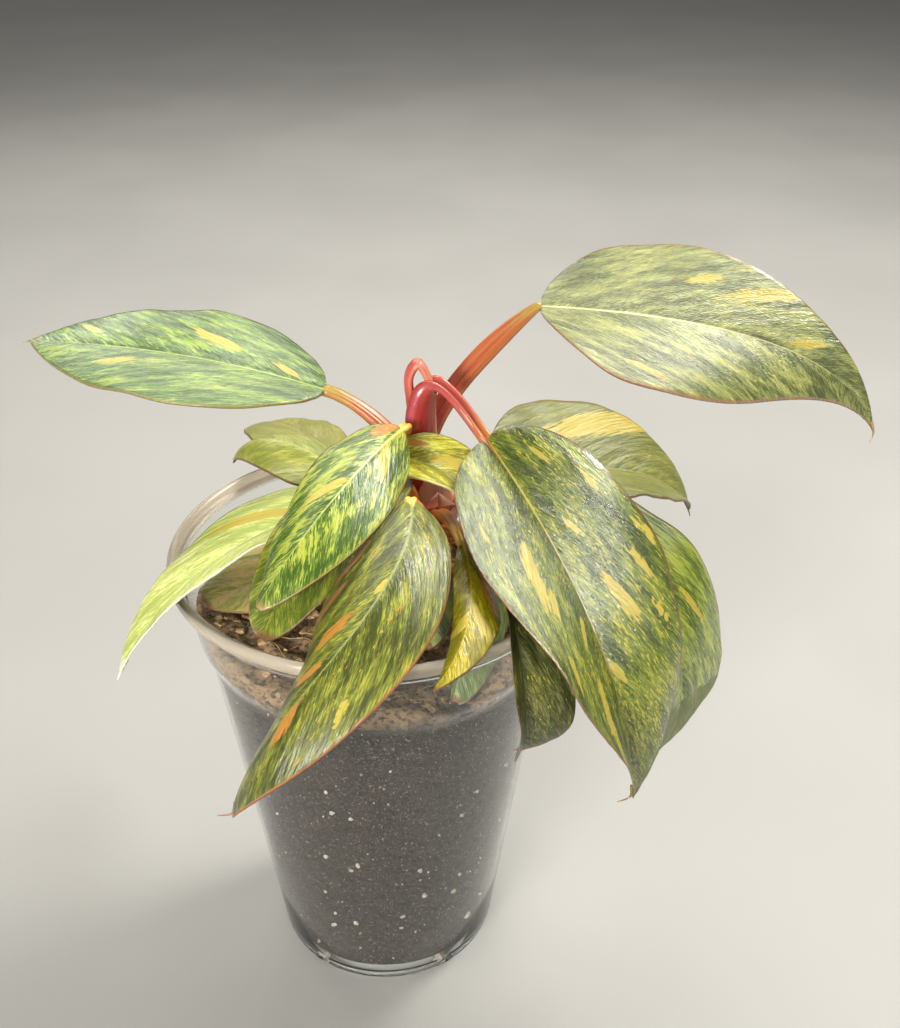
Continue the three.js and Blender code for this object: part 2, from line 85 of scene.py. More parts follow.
# Potting mix.
SOIL_GAP = 0.25
SOIL_Z = 103
SOIL_RELIEF = 0.9
SOIL_DOME = 0.6
SOIL_LIFT_Z = 80
SOIL_ROWS = 80
SOIL_RINGS = 44
SOIL_STEPS = 180
SOIL_HEAPS = ((205, 4.5, 36), (268, 3.2, 15), (296, -3.8, 15), (324, 3.4, 16))

# Crown.
CROWN_FOOT = (11, 8, 76)
CROWN_TOP = (13, 9, 137)
CROWN_RADIUS = 5
CROWN_TIP_RADIUS = 3
SHEATH_Z = 124
SHEATH_SPAN = 11
SHEATH_BULGE = 1.9
SCAR_PITCH = 7.6
SCAR_HEIGHT = 0.45

# New leaf.
NEW_LEAF_PATH = (
    (9.8, 9.5, 146),
    (9, 9.5, 153),
    (8.7, 9.4, 158.5),
    (10.6, 9.2, 161.6),
    (12.5, 9, 158.8),
    (14, 8.6, 154),
)
NEW_LEAF_STEPS = 60

# Blades and petioles.
BLADE_START = 0.004
BLADE_END = 0.994
BLUNTNESS = 0.55
RIB_STEPS = 40
WAVE_SHIFT = 0.3
TUCK_START = 0.62
PLAIN_LEAF = {"wave": 0.4, "waves": 2.5, "tuck": 0, "sheath_end": 0.7}
SHEATH_FADE = 0.3
SEAT_GAP = 0.3

# Camera, from the centre of the cup's foot: place in millimetres, angles in degrees.
CAMERA_PLACE = (0, -259, 284.7)
CAMERA_YAW = 3.82
CAMERA_PITCH = 31.25
CAMERA_FOCAL_PX = 1300
FRAME_LONG_PX = 1028
SENSOR_MM = 36


def leaf_row(name, base, bend, size, turn, petiole, **margin):
    """One leaf: its blade's start, its midrib's bends, its size, cross-section, petiole and margins."""
    row = {**PLAIN_LEAF, "name": name, "base": base, **margin}
    row.update(zip(("heading", "turn", "rise", "droop", "hook"), bend))
    row.update(zip(("length", "width", "broad", "skew"), size))
    row.update(zip(("roll", "twist", "fold", "curl"), turn))
    row.update(zip(("node", "swing", "leave", "climb", "reach", "sheath", "stalk"), petiole))
    return row


LEAVES = [
    leaf_row(
        "upper_left", (-11, 18, 151.5), (169, -16, 16, 29, -6), (77.5, 41.5, 0.37, 0),
        (-1, 16, 12, 20), (130, 0, 60, 12, 10, 2.1, 1.6),
    ),
    leaf_row(
        "upper_right", (40, 24, 168.5), (-8, 6, -1, 22, 47), (93.5, 43, 0.27, 0.04),
        (-8, -77, 15, 17), (134, 86, 44, 16, 1, 2.9, 1.3), sheath_end=0.84, wave=0.8,
    ),
    leaf_row(
        "front_right", (25.5, 0, 146.5), (-60, 8, -23, 51, 14), (91, 42, 0.4, 0.04),
        (-41, 59, 30, -2), (127, 49, 97, 50, 12, 3.8, 1.5), sheath_end=0.46, wave=-0.9, waves=2.8, tuck=3,
    ),
    leaf_row(
        "back_right", (30, 19, 126), (33, -20, -11, 5, 49), (69, 42, 0.38, -0.01),
        (-14, -3, 23, 7), (118, 0, 40, 8, 6, 1.7, 1.3), wave=0.8, waves=2,
    ),
    leaf_row(
        "right", (40.5, 1.5, 130), (-41, -4, -4, 108, 12), (82, 39.5, 0.46, 0),
        (0, -1, 11, 21), (122, 0, 35, 8, 10, 1.8, 1.3), wave=0.7, waves=3,
    ),
    leaf_row(
        "rim_right", (25.5, -22, 129), (-83, 9, 3, 110, 10), (50, 18, 0.7, -0.36),
        (40, -14, 23, 1), (116, 0, 50, 12, 8, 1.9, 1.2),
    ),
    leaf_row(
        "young_front", (18.5, -22.5, 133), (-76, -55, -18, 0, 0), (39, 11, 0.35, -0.31),
        (27, -37, -10, 27), (122, 10, 35, 10, 8, 1.7, 1.1),
    ),
    leaf_row(
        "front", (7.5, -23.5, 145), (-87, -114, 0, 71, 7), (86, 29, 0.45, 0.1),
        (3, -9, -5, 41), (119, 0, 38, 6, 1, 1.8, 1.2),
    ),
    leaf_row(
        "left_high", (6.5, -2, 151), (-114, -25, 9, 53, 3), (58, 21, 0.46, -0.01),
        (36, -46, -7, 28), (132, -60, 48, 14, 8, 1.4, 1.1),
    ),
    leaf_row(
        "left_low", (6, 1.5, 136), (-130, 3, 14, 61, 2), (54.5, 23, 0.5, -0.2),
        (8, 9, 26, 4), (120, 0, 50, 8, 3, 1.5, 1.2),
    ),
    leaf_row(
        "left_long", (1.5, 5.5, 128), (-159, 34, 10, 37, 13), (75.5, 28.5, 0.43, -0.02),
        (4, -45, 17, 16), (115, 0, 55, 6, 3, 1.5, 1.2),
    ),
    leaf_row(
        "soil_left", (-1, 9, 112.5), (201, 10, 7, 21, -11), (44, 26, 0.48, -0.01),
        (1, 5, 12, 21), (107, 0, 30, 4, 4, 1.4, 1.1),
    ),
    leaf_row(
        "back_left", (-7, 24.5, 124), (155, -15, 38, 81, 29), (41, 17, 0.35, -0.04),
        (23, -16, -11, 37), (117, 20, 30, 8, 8, 1.5, 1.1),
    ),
    leaf_row(
        "back", (-7, 31.5, 123), (125, -15, 8, 39, 25), (61, 22.5, 0.36, -0.11),
        (-2, 0, 10, 27), (112, 0, 40, 8, 8, 1.5, 1.1),
    ),
    leaf_row(
        "centre", (4.5, 2, 142), (-24, -4, 4, 61, 0), (33.5, 16, 0.35, 0.02),
        (-29, 37, 25, 1), (125, -45, 50, 12, 7, 1.3, 1.1),
    ),
    leaf_row(
        "soil_right", (28.5, -5, 125), (-110, -4, -16, 34, 0), (42.5, 17.5, 0.51, 0.02),
        (-9, -4, -22, 61), (111, 0, 50, 8, 7, 1.5, 1.1),
    ),
    leaf_row(
        "soil_front", (9, -3.5, 123), (-94, 8, 8, 24, -21), (43, 19, 0.44, 0.06),
        (7, 7, 8, 24), (110, 0, 50, 6, 4, 1.4, 1.1),
    ),
]


def rgb(text):
    """Linear colour, with alpha, from a web colour."""
    parts = [int(text[i : i + 2], 16) / 255 for i in (1, 3, 5)]
    return [p / 12.92 if p < 0.04045 else ((p + 0.055) / 1.055) ** 2.4 for p in parts] + [1]


# What a blade's material takes from its entry in LOOKS.
BLADE_COLOURS = ("dark", "light", "streak", "fleck", "rib", "margin")
BLADE_NUMBERS = ("streaks", "flecks", "rib_strength", "gloss", "pebble")
PATCH_KINDS = ("yellow", "orange", "blush")


def look(dark, light, streak, streaks, flecks, gloss, slot, **more):
    """Colours of one blade. Each patch: share along, place across, and half its width across the side
    veins and half its length along them in millimetres."""
    values = {
        "dark": dark, "light": light, "streak": streak, "streaks": streaks, "flecks": flecks,
        "gloss": gloss, "slot": slot, "rib": "#b3b87a", "rib_strength": 0.6, "margin": "#7a4a38",
        "fleck": "#b9a83a", "pebble": 0.5, "same_under": False, "coat": 0.9, "coat_ior": 1.5,
    }
    return {**values, **dict.fromkeys(PATCH_KINDS, ()), **more}


LOOKS = {
    "upper_left": look(
        "#405e25", "#7b9c4f", "#b5d049", 0.5, 0.3, 0.3, "leaf_green", rib="#ccda8c", rib_strength=0.8,
        margin="#998b52", coat=1,
        yellow=((0.38, 0.38, 2.2, 5), (0.13, 0.18, 1.2, 3.6), (0.62, -0.4, 1.6, 4.3), (0.8, 0.5, 1, 3)),
    ),
    "upper_right": look(
        "#535d2c", "#9da45e", "#d4d582", 0.3, 0.35, 0.28, "leaf_green", rib="#f7f4ac", rib_strength=0.8,
        margin="#a77959", pebble=1.6, coat_ior=1.65,
        yellow=(
            (0.54, -0.66, 2.6, 6.5), (0.4, -0.58, 1.6, 3.6), (0.27, 0.78, 1.4, 3.6),
            (0.68, -0.3, 1.1, 3.6), (0.36, 0.4, 1.1, 2.9),
        ),
        orange=((0.29, 0.83, 1.1, 1.8),),
    ),
    "front_right": look(
        "#3d4c13", "#7a8a2d", "#abaf43", 0.35, 0.6, 0.24, "leaf_green", rib="#d8cc79", rib_strength=0.85,
        fleck="#c5b740", margin="#805937", pebble=1.5, coat_ior=1.95,
        yellow=(
            (0.375, 0.45, 3, 5.6), (0.49, -0.42, 2.6, 4.7), (0.31, -0.31, 0.9, 2.9),
            (0.44, -0.76, 1.4, 2.9), (0.39, -0.93, 1.1, 1.8), (0.56, -0.8, 1.1, 2.2),
            (0.24, 0.76, 1.1, 2.2), (0.45, 0.41, 0.8, 2.9), (0.54, 0.21, 0.8, 3.6), (0.7, 0.51, 1.9, 5),
            (0.79, 0.73, 1.6, 4.3), (0.66, -0.1, 0.9, 2.9), (0.13, -0.6, 0.9, 2.2), (0.25, -0.8, 0.8, 2),
            (0.6, 0.75, 1.2, 2.9),
        ),
    ),
    "back_right": look(
        "#717635", "#888b47", "#a29c4f", 0.45, 0.2, 0.4, "leaf_lime", margin="#866243", coat=0.35,
        yellow=((0.53, -0.68, 6.1, 10.8), (0.25, -0.4, 1.6, 4.3)),
    ),
    "right": look(
        "#4c6018", "#93a53c", "#bcc74f", 0.75, 0.3, 0.3, "leaf_green", coat_ior=1.6, margin="#8b5239",
        yellow=((0.5, -0.46, 1.4, 5), (0.42, 0.5, 1.1, 4.3)),
    ),
    "rim_right": look(
        "#353b15", "#656932", "#858753", 0.7, 0.4, 0.36, "leaf_olive", same_under=True, coat=0.12,
    ),
    "young_front": look(
        "#7a730c", "#ad9e16", "#d7c52a", 0.6, 0.2, 0.28, "leaf_gold", rib="#ddc42f", coat=0.3,
        orange=((0.3, -0.6, 1.6, 5),),
        yellow=((0.55, 0.3, 1.1, 4.3), (0.5, -0.34, 1.1, 4.3)),
    ),
    "front": look(
        "#424915", "#7d8431", "#b0b641", 0.45, 0.25, 0.34, "leaf_olive", margin="#b3684a",
        fleck="#d2983d", coat=0.45,
        orange=((0.46, 0.33, 1.8, 5), (0.68, -0.1, 1.8, 5), (0.58, 0.2, 1.1, 4.3)),
        blush=((0.2, 0.85, 2.2, 6.5), (0.38, 0.8, 1.8, 5.8)),
        yellow=((0.3, 0.03, 0.8, 2.4), (0.58, -0.7, 0.8, 2.6)),
    ),
    "left_high": look(
        "#415c18", "#7b943c", "#c3cc54", 0.85, 0.25, 0.22, "leaf_lime", rib="#d3e28f", rib_strength=0.7,
        margin="#ae965e", coat=0.4,
        orange=((0.06, 0.5, 2.2, 4.3),),
        yellow=((0.25, -0.3, 1.4, 5), (0.5, 0.3, 1.2, 5.8)),
    ),
    "left_low": look("#54651c", "#83912d", "#abb042", 0.7, 0.3, 0.32, "leaf_green", coat=0.5),
    "left_long": look(
        "#b2c166", "#e3eb82", "#ffffbf", 0.6, 0.2, 0.38, "leaf_lime", margin="#ffffe9", rib="#ffffe3",
        coat=0.5,
        yellow=((0.4, 0.5, 2, 10.1),),
    ),
    "soil_left": look("#939a47", "#dece7c", "#ecc684", 0.8, 0.15, 0.42, "leaf_lime", coat=0.1),
    "back_left": look("#858e3d", "#a8aa4b", "#c2be5f", 0.5, 0.15, 0.38, "leaf_lime", coat=0.4),
    "back": look("#88893b", "#9c9847", "#b3ae5f", 0.5, 0.1, 0.42, "leaf_lime", coat=0.2),
    "centre": look(
        "#82811e", "#d2c839", "#ebf367", 0.85, 0.25, 0.24, "leaf_gold", margin="#ebf2a9", coat=0.7,
        orange=((0.09, -0.7, 1.6, 2.2),),
        yellow=((0.4, -0.4, 1.6, 4.3),),
    ),
    "soil_right": look("#5c7037", "#7b8e51", "#a3b06c", 0.5, 0.1, 0.4, "leaf_green", coat=0.2),
    "soil_front": look("#4e5620", "#7a8240", "#969c51", 0.6, 0.3, 0.36, "leaf_olive", coat=0.3),
}

# Red petioles: how strong their wing is, and how much wider they are drawn.
RED_PETIOLES = {"upper_right": (0.9, 1), "front_right": (1, 1.25)}
PLAIN_PLUMP = 1.14


class Plant(bpy.types.PropertyGroup):
    """Sizes and colours of the plant that a user may change."""

    blade_thickness: bpy.props.FloatProperty(
        name="Blade thickness", description="Thickness of every leaf blade",
        default=0.6 * MM, min=0.2 * MM, max=1.2 * MM, unit="LENGTH", subtype="DISTANCE", precision=5,
    )
    margin_wave: bpy.props.FloatProperty(
        name="Margin wave", description="Height of the soft waves along the leaf margins",
        default=0.25 * MM, min=0, max=2 * MM, unit="LENGTH", subtype="DISTANCE", precision=5,
    )
    vein_relief: bpy.props.FloatProperty(
        name="Vein relief", description="Height of the puckers between the side veins",
        default=0.16 * MM, min=0, max=0.5 * MM, unit="LENGTH", subtype="DISTANCE", precision=5,
    )
    cup_wall: bpy.props.FloatProperty(
        name="Cup wall", description="Thickness of the cup's plastic",
        default=0.6 * MM, min=0.3 * MM, max=2 * MM, unit="LENGTH", subtype="DISTANCE", precision=5,
    )
    perlite_count: bpy.props.IntProperty(
        name="Perlite grains", description="White grains in the potting mix", default=700, min=0, max=1500,
    )
    bark_count: bpy.props.IntProperty(
        name="Bark chips", description="Chips on top of the potting mix", default=320, min=0, max=500,
    )
    fibre_count: bpy.props.IntProperty(
        name="Fibres", description="Coir fibres on top of the potting mix", default=120, min=0, max=400,
    )
    yellow: bpy.props.FloatVectorProperty(
        name="Yellow patches", description="Colour of the yellow sectors of the blades",
        subtype="COLOR", size=4, min=0, max=1, default=rgb("#cdb848"),
    )
    orange: bpy.props.FloatVectorProperty(
        name="Orange patches", description="Colour of the orange sectors of the blades",
        subtype="COLOR", size=4, min=0, max=1, default=rgb("#c98a3c"),
    )
    blush: bpy.props.FloatVectorProperty(
        name="Blush", description="Colour of the reddish sectors of the blades",
        subtype="COLOR", size=4, min=0, max=1, default=rgb("#a06a48"),
    )
    soil_dark: bpy.props.FloatVectorProperty(
        name="Dark mix", description="Darkest colour of the potting mix",
        subtype="COLOR", size=4, min=0, max=1, default=rgb("#100b09"),
    )
    soil_light: bpy.props.FloatVectorProperty(
        name="Light mix", description="Lightest colour of the potting mix",
        subtype="COLOR", size=4, min=0, max=1, default=rgb("#2d231d"),
    )
    floor: bpy.props.FloatVectorProperty(
        name="Floor", description="Colour of the studio floor",
        subtype="COLOR", size=4, min=0, max=1, default=rgb("#aeadab"),
    )


# Node trees


class Tree:
    """Short calls for the nodes of one material or group; each returns an output socket."""

    def __init__(self, tree):
        self.tree = tree

    def node(self, kind, **settings):
        made = self.tree.nodes.new(kind)
        for name, value in settings.items():
            setattr(made, name, value)
        return made

    def plug(self, socket, value):
        if isinstance(value, bpy.types.NodeSocket):
            self.tree.links.new(value, socket)
        else:
            socket.default_value = value

    def feed(self, made, **values):
        """Plugs values into the inputs of a node by their labels."""
        for label, value in values.items():
            self.plug(made.inputs[label.replace("_", " ")], value)

    def fill(self, made, *values):
        """Plugs values into the first inputs of a node, and returns its first output."""
        for socket, value in zip(made.inputs, values):
            self.plug(socket, value)
        return made.outputs[0]

    def math(self, operation, *values):
        return self.fill(self.node("ShaderNodeMath", operation=operation), *values)

    def plus(self, first, second):
        return self.math("ADD", first, second)

    def minus(self, first, second):
        return self.math("SUBTRACT", first, second)

    def times(self, first, second):
        return self.math("MULTIPLY", first, second)

    def step(self, value, low, high, start=0, end=1):
        made = self.node("ShaderNodeMapRange", interpolation_type="SMOOTHSTEP")
        return self.fill(made, value, low, high, start, end)

    def mix(self, share, first, second):
        made = self.node("ShaderNodeMix", data_type="RGBA")
        for index, value in zip((0, 6, 7), (share, first, second)):
            self.plug(made.inputs[index], value)
        return made.outputs[2]

    def vector(self, x, y, z):
        return self.fill(self.node("ShaderNodeCombineXYZ"), x, y, z)

    def split(self, vector):
        made = self.node("ShaderNodeSeparateXYZ")
        self.plug(made.inputs[0], vector)
        return made.outputs

    def noise(self, vector, scale, detail=2, roughness=0.5):
        made = self.node("ShaderNodeTexNoise")
        self.feed(made, Vector=vector, Scale=scale, Detail=detail, Roughness=roughness)
        return made.outputs[0]

    def cells(self, vector, scale, output="Distance"):
        made = self.node("ShaderNodeTexVoronoi")
        self.feed(made, Vector=vector, Scale=scale)
        return made.outputs[output]

    def bump(self, height, strength, distance):
        made = self.node("ShaderNodeBump")
        self.feed(made, Height=height, Strength=strength, Distance=distance)
        return made.outputs[0]

    def uv(self, name):
        return self.node("ShaderNodeUVMap", uv_map=name).outputs[0]

    def place(self):
        return self.node("ShaderNodeTexCoord").outputs["Object"]

    def attribute(self, name):
        return self.node("ShaderNodeAttribute", attribute_name=name).outputs["Color"]


def new_group(name, colours, numbers):
    """An empty group that takes colours and numbers, and gives a colour, roughness and height."""
    group = bpy.data.node_groups.new(name, "ShaderNodeTree")
    sockets = [(label, "INPUT", "Color") for label in colours]
    sockets += [(label, "INPUT", "Float") for label in numbers]
    sockets += [(label, "OUTPUT", "Float") for label in ("roughness", "height")]
    sockets += [("color", "OUTPUT", "Color")]
    for label, side, kind in sockets:
        label = label.replace("_", " ").title()
        group.interface.new_socket(label, in_out=side, socket_type="NodeSocket" + kind)
    tree = Tree(group)
    source = tree.node("NodeGroupInput").outputs
    target = tree.node("NodeGroupOutput").inputs
    return group, tree, source, target


def new_material(name):
    """An empty material with its Principled shader."""
    material = bpy.data.materials.new(name)
    material.use_nodes = True
    tree = Tree(material.node_tree)
    return material, tree, material.node_tree.nodes["Principled BSDF"]


def place_group(tree, group, **values):
    made = tree.node("ShaderNodeGroup", node_tree=group)
    tree.feed(made, **{label.title(): value for label, value in values.items()})
    return made.outputs


def leaf_colours():
    """Group: variegated blade. Reads the maps 'veins' (across and along the side veins) and 'leaf'."""
    colours = BLADE_COLOURS + PATCH_KINDS
    group, tree, source, target = new_group("leaf_colours", colours, (*BLADE_NUMBERS, "seed"))
    across, along, _ = tree.split(tree.uv("veins"))
    place, share, _ = tree.split(tree.uv("leaf"))
    reach = tree.math("ABSOLUTE", along)
    seed = tree.plus(source["Seed"], tree.times(tree.math("SIGN", along), 3.7))

    def grain(scale, stretch, detail=2):
        way = tree.vector(across, tree.math("DIVIDE", reach, stretch), seed)
        return tree.noise(way, scale, detail, 0.55)

    def weighed(*pairs):
        total = None
        for value, weight in pairs:
            part = tree.times(tree.minus(value, 0.5), weight)
            total = part if total is None else tree.plus(total, part)
        return total

    cloud = grain(1.7, 1, 3)
    bands = grain(6, 7, 3)
    streaks = grain(25, 6)
    threads = grain(48, 8)
    specks = grain(20, 2.2, 1)
    # mottled green
    tone = weighed((cloud, 0.9), (bands, 0.7), (threads, 0.9))
    colour = tree.mix(tree.step(tone, -0.18, 0.18), source["Dark"], source["Light"])
    # pale streaks along the side veins
    level = weighed((streaks, 0.9), (threads, 0.5), (bands, 0.5), (cloud, 0.7))
    low = tree.minus(0.16, tree.times(source["Streaks"], 0.2))
    streak = tree.times(tree.step(level, low, tree.plus(low, 0.16)), 0.75)
    colour = tree.mix(streak, colour, source["Streak"])
    # small flecks
    level = weighed((specks, 1), (cloud, 0.6))
    low = tree.minus(0.25, tree.times(source["Flecks"], 0.2))
    fleck = tree.step(level, low, tree.plus(low, 0.03))
    colour = tree.mix(tree.times(fleck, 0.95), colour, source["Fleck"])
    # whole patches, frayed along the veins
    fray = weighed((bands, 0.8), (streaks, 0.6))
    for socket, kind in zip(tree.split(tree.attribute("sectors")), PATCH_KINDS):
        level = tree.plus(socket, tree.times(fray, tree.step(socket, 0, 0.25)))
        edge = tree.times(tree.step(level, 0.3, 0.42), tree.step(threads, 0.3, 0.5, 0.72, 0.97))
        colour = tree.mix(edge, colour, source[kind.title()])
    # midrib, margin and dry tip
    half = tree.step(share, 0, 1, 0.065, 0.015)
    rib = tree.step(tree.minus(reach, half), 0.02, -0.03)
    colour = tree.mix(tree.times(rib, source["Rib Strength"]), colour, source["Rib"])
    off_middle = tree.math("ABSOLUTE", tree.minus(place, 0.5))
    colour = tree.mix(tree.step(off_middle, 0.486, 0.496, 0, 0.8), colour, source["Margin"])
    colour = tree.mix(tree.step(share, 0.955, 0.99, 0, 0.85), colour, source["Margin"])
    tree.plug(target["Color"], colour)
    # pebbled skin with fine lines along the veins
    skin = grain(20, 1, 2)
    lines = grain(14, 10, 3)
    rough = tree.plus(source["Gloss"], weighed((skin, 0.25), (lines, 0.25)))
    tree.plug(target["Roughness"], rough)
    pebbles = tree.times(weighed((skin, 1)), source["Pebble"])
    waves = grain(5, 4, 1)
    relief = weighed((lines, 1.4), (threads, 0.4), (waves, 2.5))
    tree.plug(target["Height"], tree.plus(pebbles, relief))
    return group


def leaf_material(name, values, seed, settings, group):
    material, tree, shader = new_material("blade_" + name)
    given = {label: rgb(values[label]) for label in BLADE_COLOURS}
    given.update({kind: tuple(getattr(settings, kind)) for kind in PATCH_KINDS})
    given.update({label: values[label] for label in BLADE_NUMBERS})
    out = place_group(tree, group, seed=seed, **given)
    normal = tree.bump(out["Height"], 0.9, 0.2 * MM)
    tree.feed(
        shader, Base_Color=out["Color"], Roughness=out["Roughness"], Normal=normal, Coat_Normal=normal,
        Coat_Weight=values["coat"], Coat_Roughness=0.12, Coat_IOR=values["coat_ior"],
    )
    return material


def underside_material():
    """Pale matte green with faint veins."""
    material, tree, shader = new_material("blade_underside")
    across, along, _ = tree.split(tree.uv("veins"))
    reach = tree.math("ABSOLUTE", along)
    cloud = tree.noise(tree.vector(across, reach, 0), 5, 3)
    colour = tree.mix(tree.step(cloud, 0.35, 0.7), rgb("#6b7a48"), rgb("#8c9762"))
    streak = tree.noise(tree.vector(across, tree.times(reach, 0.12), 5), 12, 3)
    colour = tree.mix(tree.step(streak, 0.5, 0.65, 0, 0.5), colour, rgb("#a39a63"))
    rough = tree.step(cloud, 0.3, 0.7, 0.45, 0.6)
    tree.feed(shader, Base_Color=colour, Roughness=rough, Normal=tree.bump(cloud, 0.3, 0.1 * MM))
    return material


STEM_COLOURS = ("foot", "middle", "top", "edge", "streak")


def stem_colours():
    """Group: petiole skin. Reads the map 'stem': round the stem, and along it."""
    group, tree, source, target = new_group("stem_colours", STEM_COLOURS, ("gloss", "seed"))
    around, along, _ = tree.split(tree.uv("stem"))
    wrapped = tree.times(around, 3)
    stripe_way = tree.vector(wrapped, tree.times(along, 0.5), source["Seed"])
    spot_way = tree.vector(wrapped, tree.times(along, 4), source["Seed"])
    height = tree.plus(along, tree.times(tree.minus(tree.noise(spot_way, 2, 3), 0.5), 0.35))
    colour = tree.mix(tree.step(height, 0.12, 0.4), source["Foot"], source["Middle"])
    colour = tree.mix(tree.step(height, 0.45, 0.72), colour, source["Top"])
    stripe = tree.noise(stripe_way, 9, 3, 0.6)
    colour = tree.mix(tree.step(stripe, 0.52, 0.7, 0, 0.6), colour, source["Streak"])
    half_turn = tree.math("FRACT", tree.times(around, 2))
    side = tree.math("ABSOLUTE", tree.minus(half_turn, 0.5))
    colour = tree.mix(tree.step(side, 0.36, 0.5, 0, 0.55), colour, source["Edge"])
    tree.plug(target["Color"], colour)
    tree.plug(target["Roughness"], tree.plus(source["Gloss"], tree.step(stripe, 0.3, 0.7, -0.05, 0.1)))
    tree.plug(target["Height"], tree.plus(stripe, tree.times(tree.noise(spot_way, 30, 2), 0.3)))
    return group


# Skins of the stems: their STEM_COLOURS, gloss and seed.
SKINS = {
    "crown": ("#8d4c43", "#c68171", "#dc9f8c", "#fbcdba", "#9c574c", 0.4, 1),
    "red_stalk": ("#a0282a", "#bd5144", "#c07a3a", "#c46478", "#8c1a1c", 0.22, 2),
    "gold_stalk": ("#f3804b", "#ffb14b", "#f8cc50", "#ffc87d", "#d1803f", 0.32, 3),
    "rolled_leaf": ("#bd3539", "#cf5a51", "#db8972", "#de9885", "#b7353d", 0.26, 4),
    "rust_stalk": ("#a8322a", "#b8602c", "#b09a40", "#c88058", "#96381f", 0.26, 5),
}
PETIOLE_SKINS = {"front_right": "red_stalk", "upper_right": "rust_stalk", "upper_left": "rust_stalk"}


def stem_material(name, group):
    *colours, gloss, seed = SKINS[name]
    material, tree, shader = new_material(name)
    tints = dict(zip(STEM_COLOURS, map(rgb, colours)))
    out = place_group(tree, group, gloss=gloss, seed=seed, **tints)
    tree.feed(
        shader, Base_Color=out["Color"], Roughness=out["Roughness"],
        Normal=tree.bump(out["Height"], 0.5, 0.15 * MM), Coat_Weight=0.3, Coat_Roughness=0.15,
    )
    return material


# Heights, in metres, between which the mix's crust and the cup's milky lip, with its painted beige tint, set
# in.
CRUST_RISE = (0.102, 0.109)
LIP_RISE = (0.1155, 0.117)


def crumb_material(name, dark, light, fleck, scale, rough, crust=None):
    """Crumbly matter: dark crumbs with lighter ones and a few flecks, and the mix's drier crust."""
    material, tree, shader = new_material(name)
    place = tree.place()
    crumbs = tree.noise(place, scale, 5, 0.7)
    lumps = tree.cells(place, scale * 0.9)
    grains = tree.split(tree.cells(place, scale * 1.9, "Color"))[0]
    tone = tree.plus(tree.times(crumbs, 0.7), tree.times(grains, 0.35))
    colour = tree.mix(tree.step(tone, 0.3, 0.75), dark, light)
    if crust:
        ragged = tree.times(tree.noise(place, 150, 3), 0.012)
        level = tree.plus(tree.split(place)[2], ragged)
        dry = tree.times(tree.step(level, *CRUST_RISE), tree.step(tone, 0.33, 0.6, 0.15, 1))
        colour = tree.mix(dry, colour, crust)
    spots = tree.step(tree.noise(place, scale * 2.2, 2), 0.65, 0.71, 0, 0.8)
    colour = tree.mix(spots, colour, fleck)
    dots = tree.step(tree.noise(place, scale * 5, 1), 0.65, 0.7, 0, 0.8)
    colour = tree.mix(dots, colour, fleck)
    tree.feed(
        shader, Base_Color=colour, Roughness=tree.step(crumbs, 0.3, 0.7, rough - 0.1, rough),
        Normal=tree.bump(tree.plus(crumbs, lumps), 0.8, 0.5 * MM),
    )
    return material


def clear_material():
    """Clear plastic, milkier at the lip, whose beige colour is a painted reflection of the potting mix:
    lamps reach what is behind it.
    """
    material, tree, shader = new_material("clear_plastic")
    place = tree.place()
    haze = tree.noise(place, 60, 4, 0.6)
    lip = tree.step(tree.split(place)[2], *LIP_RISE)
    rough = tree.plus(tree.step(haze, 0.35, 0.75, 0.02, 0.06), tree.times(lip, 0.2))
    # At the lip the beige base colour is a painted reflection of the potting mix; the added roughness and
    # lower transmission make it milky.
    tree.feed(
        shader, Base_Color=tree.mix(lip, (0.97, 0.98, 0.98, 1), (0.76, 0.68, 0.56, 1)), Roughness=rough,
        IOR=1.45, Transmission_Weight=tree.step(lip, 0, 1, 1, 0.68),
        Normal=tree.bump(tree.noise(place, 90, 2), 0.05, 0.2 * MM),
    )
    open_shader = tree.node("ShaderNodeBsdfTransparent")
    tree.plug(open_shader.inputs[0], (0.9, 0.91, 0.91, 1))
    shadow = tree.node("ShaderNodeLightPath").outputs["Is Shadow Ray"]
    mixed = tree.fill(tree.node("ShaderNodeMixShader"), shadow, shader.outputs[0], open_shader.outputs[0])
    tree.plug(material.node_tree.nodes["Material Output"].inputs["Surface"], mixed)
    return material


# Meshes


def new_object(name, data):
    made = bpy.data.objects.new(name, data)
    bpy.context.scene.collection.objects.link(made)
    return made


def mesh_object(name, bm, smooth=False):
    """Turns a bmesh in millimetres round the cup's axis into an object."""
    bmesh.ops.scale(bm, vec=(MM, MM, MM), verts=bm.verts)
    bmesh.ops.translate(bm, vec=CUP_AXIS, verts=bm.verts)
    for face in bm.faces:
        face.smooth = smooth
    mesh = bpy.data.meshes.new(name)
    bm.to_mesh(mesh)
    bm.free()
    return new_object(name, mesh)


def finish_piece(name, bm, materials, replaced, slot, smooth=True):
    piece = mesh_object(name, bm, smooth)
    for material in materials:
        piece.data.materials.append(material)
    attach(piece, "root")
    if replaced:
        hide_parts(*replaced)
    return piece


def lay_map(faces, layer, place):
    """Writes a UV map on faces; place gives a vertex's spot on it."""
    for face in faces:
        for loop in face.loops:
            loop[layer].uv = place(loop.vert)


def faces_of(vertices):
    return list({face for vertex in vertices if vertex.is_valid for face in vertex.link_faces})


def on_circle(radius, angle):
    return radius * math.cos(angle), radius * math.sin(angle)


def unit(vectors):
    return vectors / np.linalg.norm(vectors, axis=-1, keepdims=True)


def rib_directions(leaf, s):
    heading = np.radians(leaf["heading"] + leaf["turn"] * s)
    pitch = np.radians(leaf["rise"] - leaf["droop"] * s - leaf["hook"] * s**4)
    flat = np.cos(pitch)
    return np.stack([np.cos(heading) * flat, np.sin(heading) * flat, np.sin(pitch)], -1)


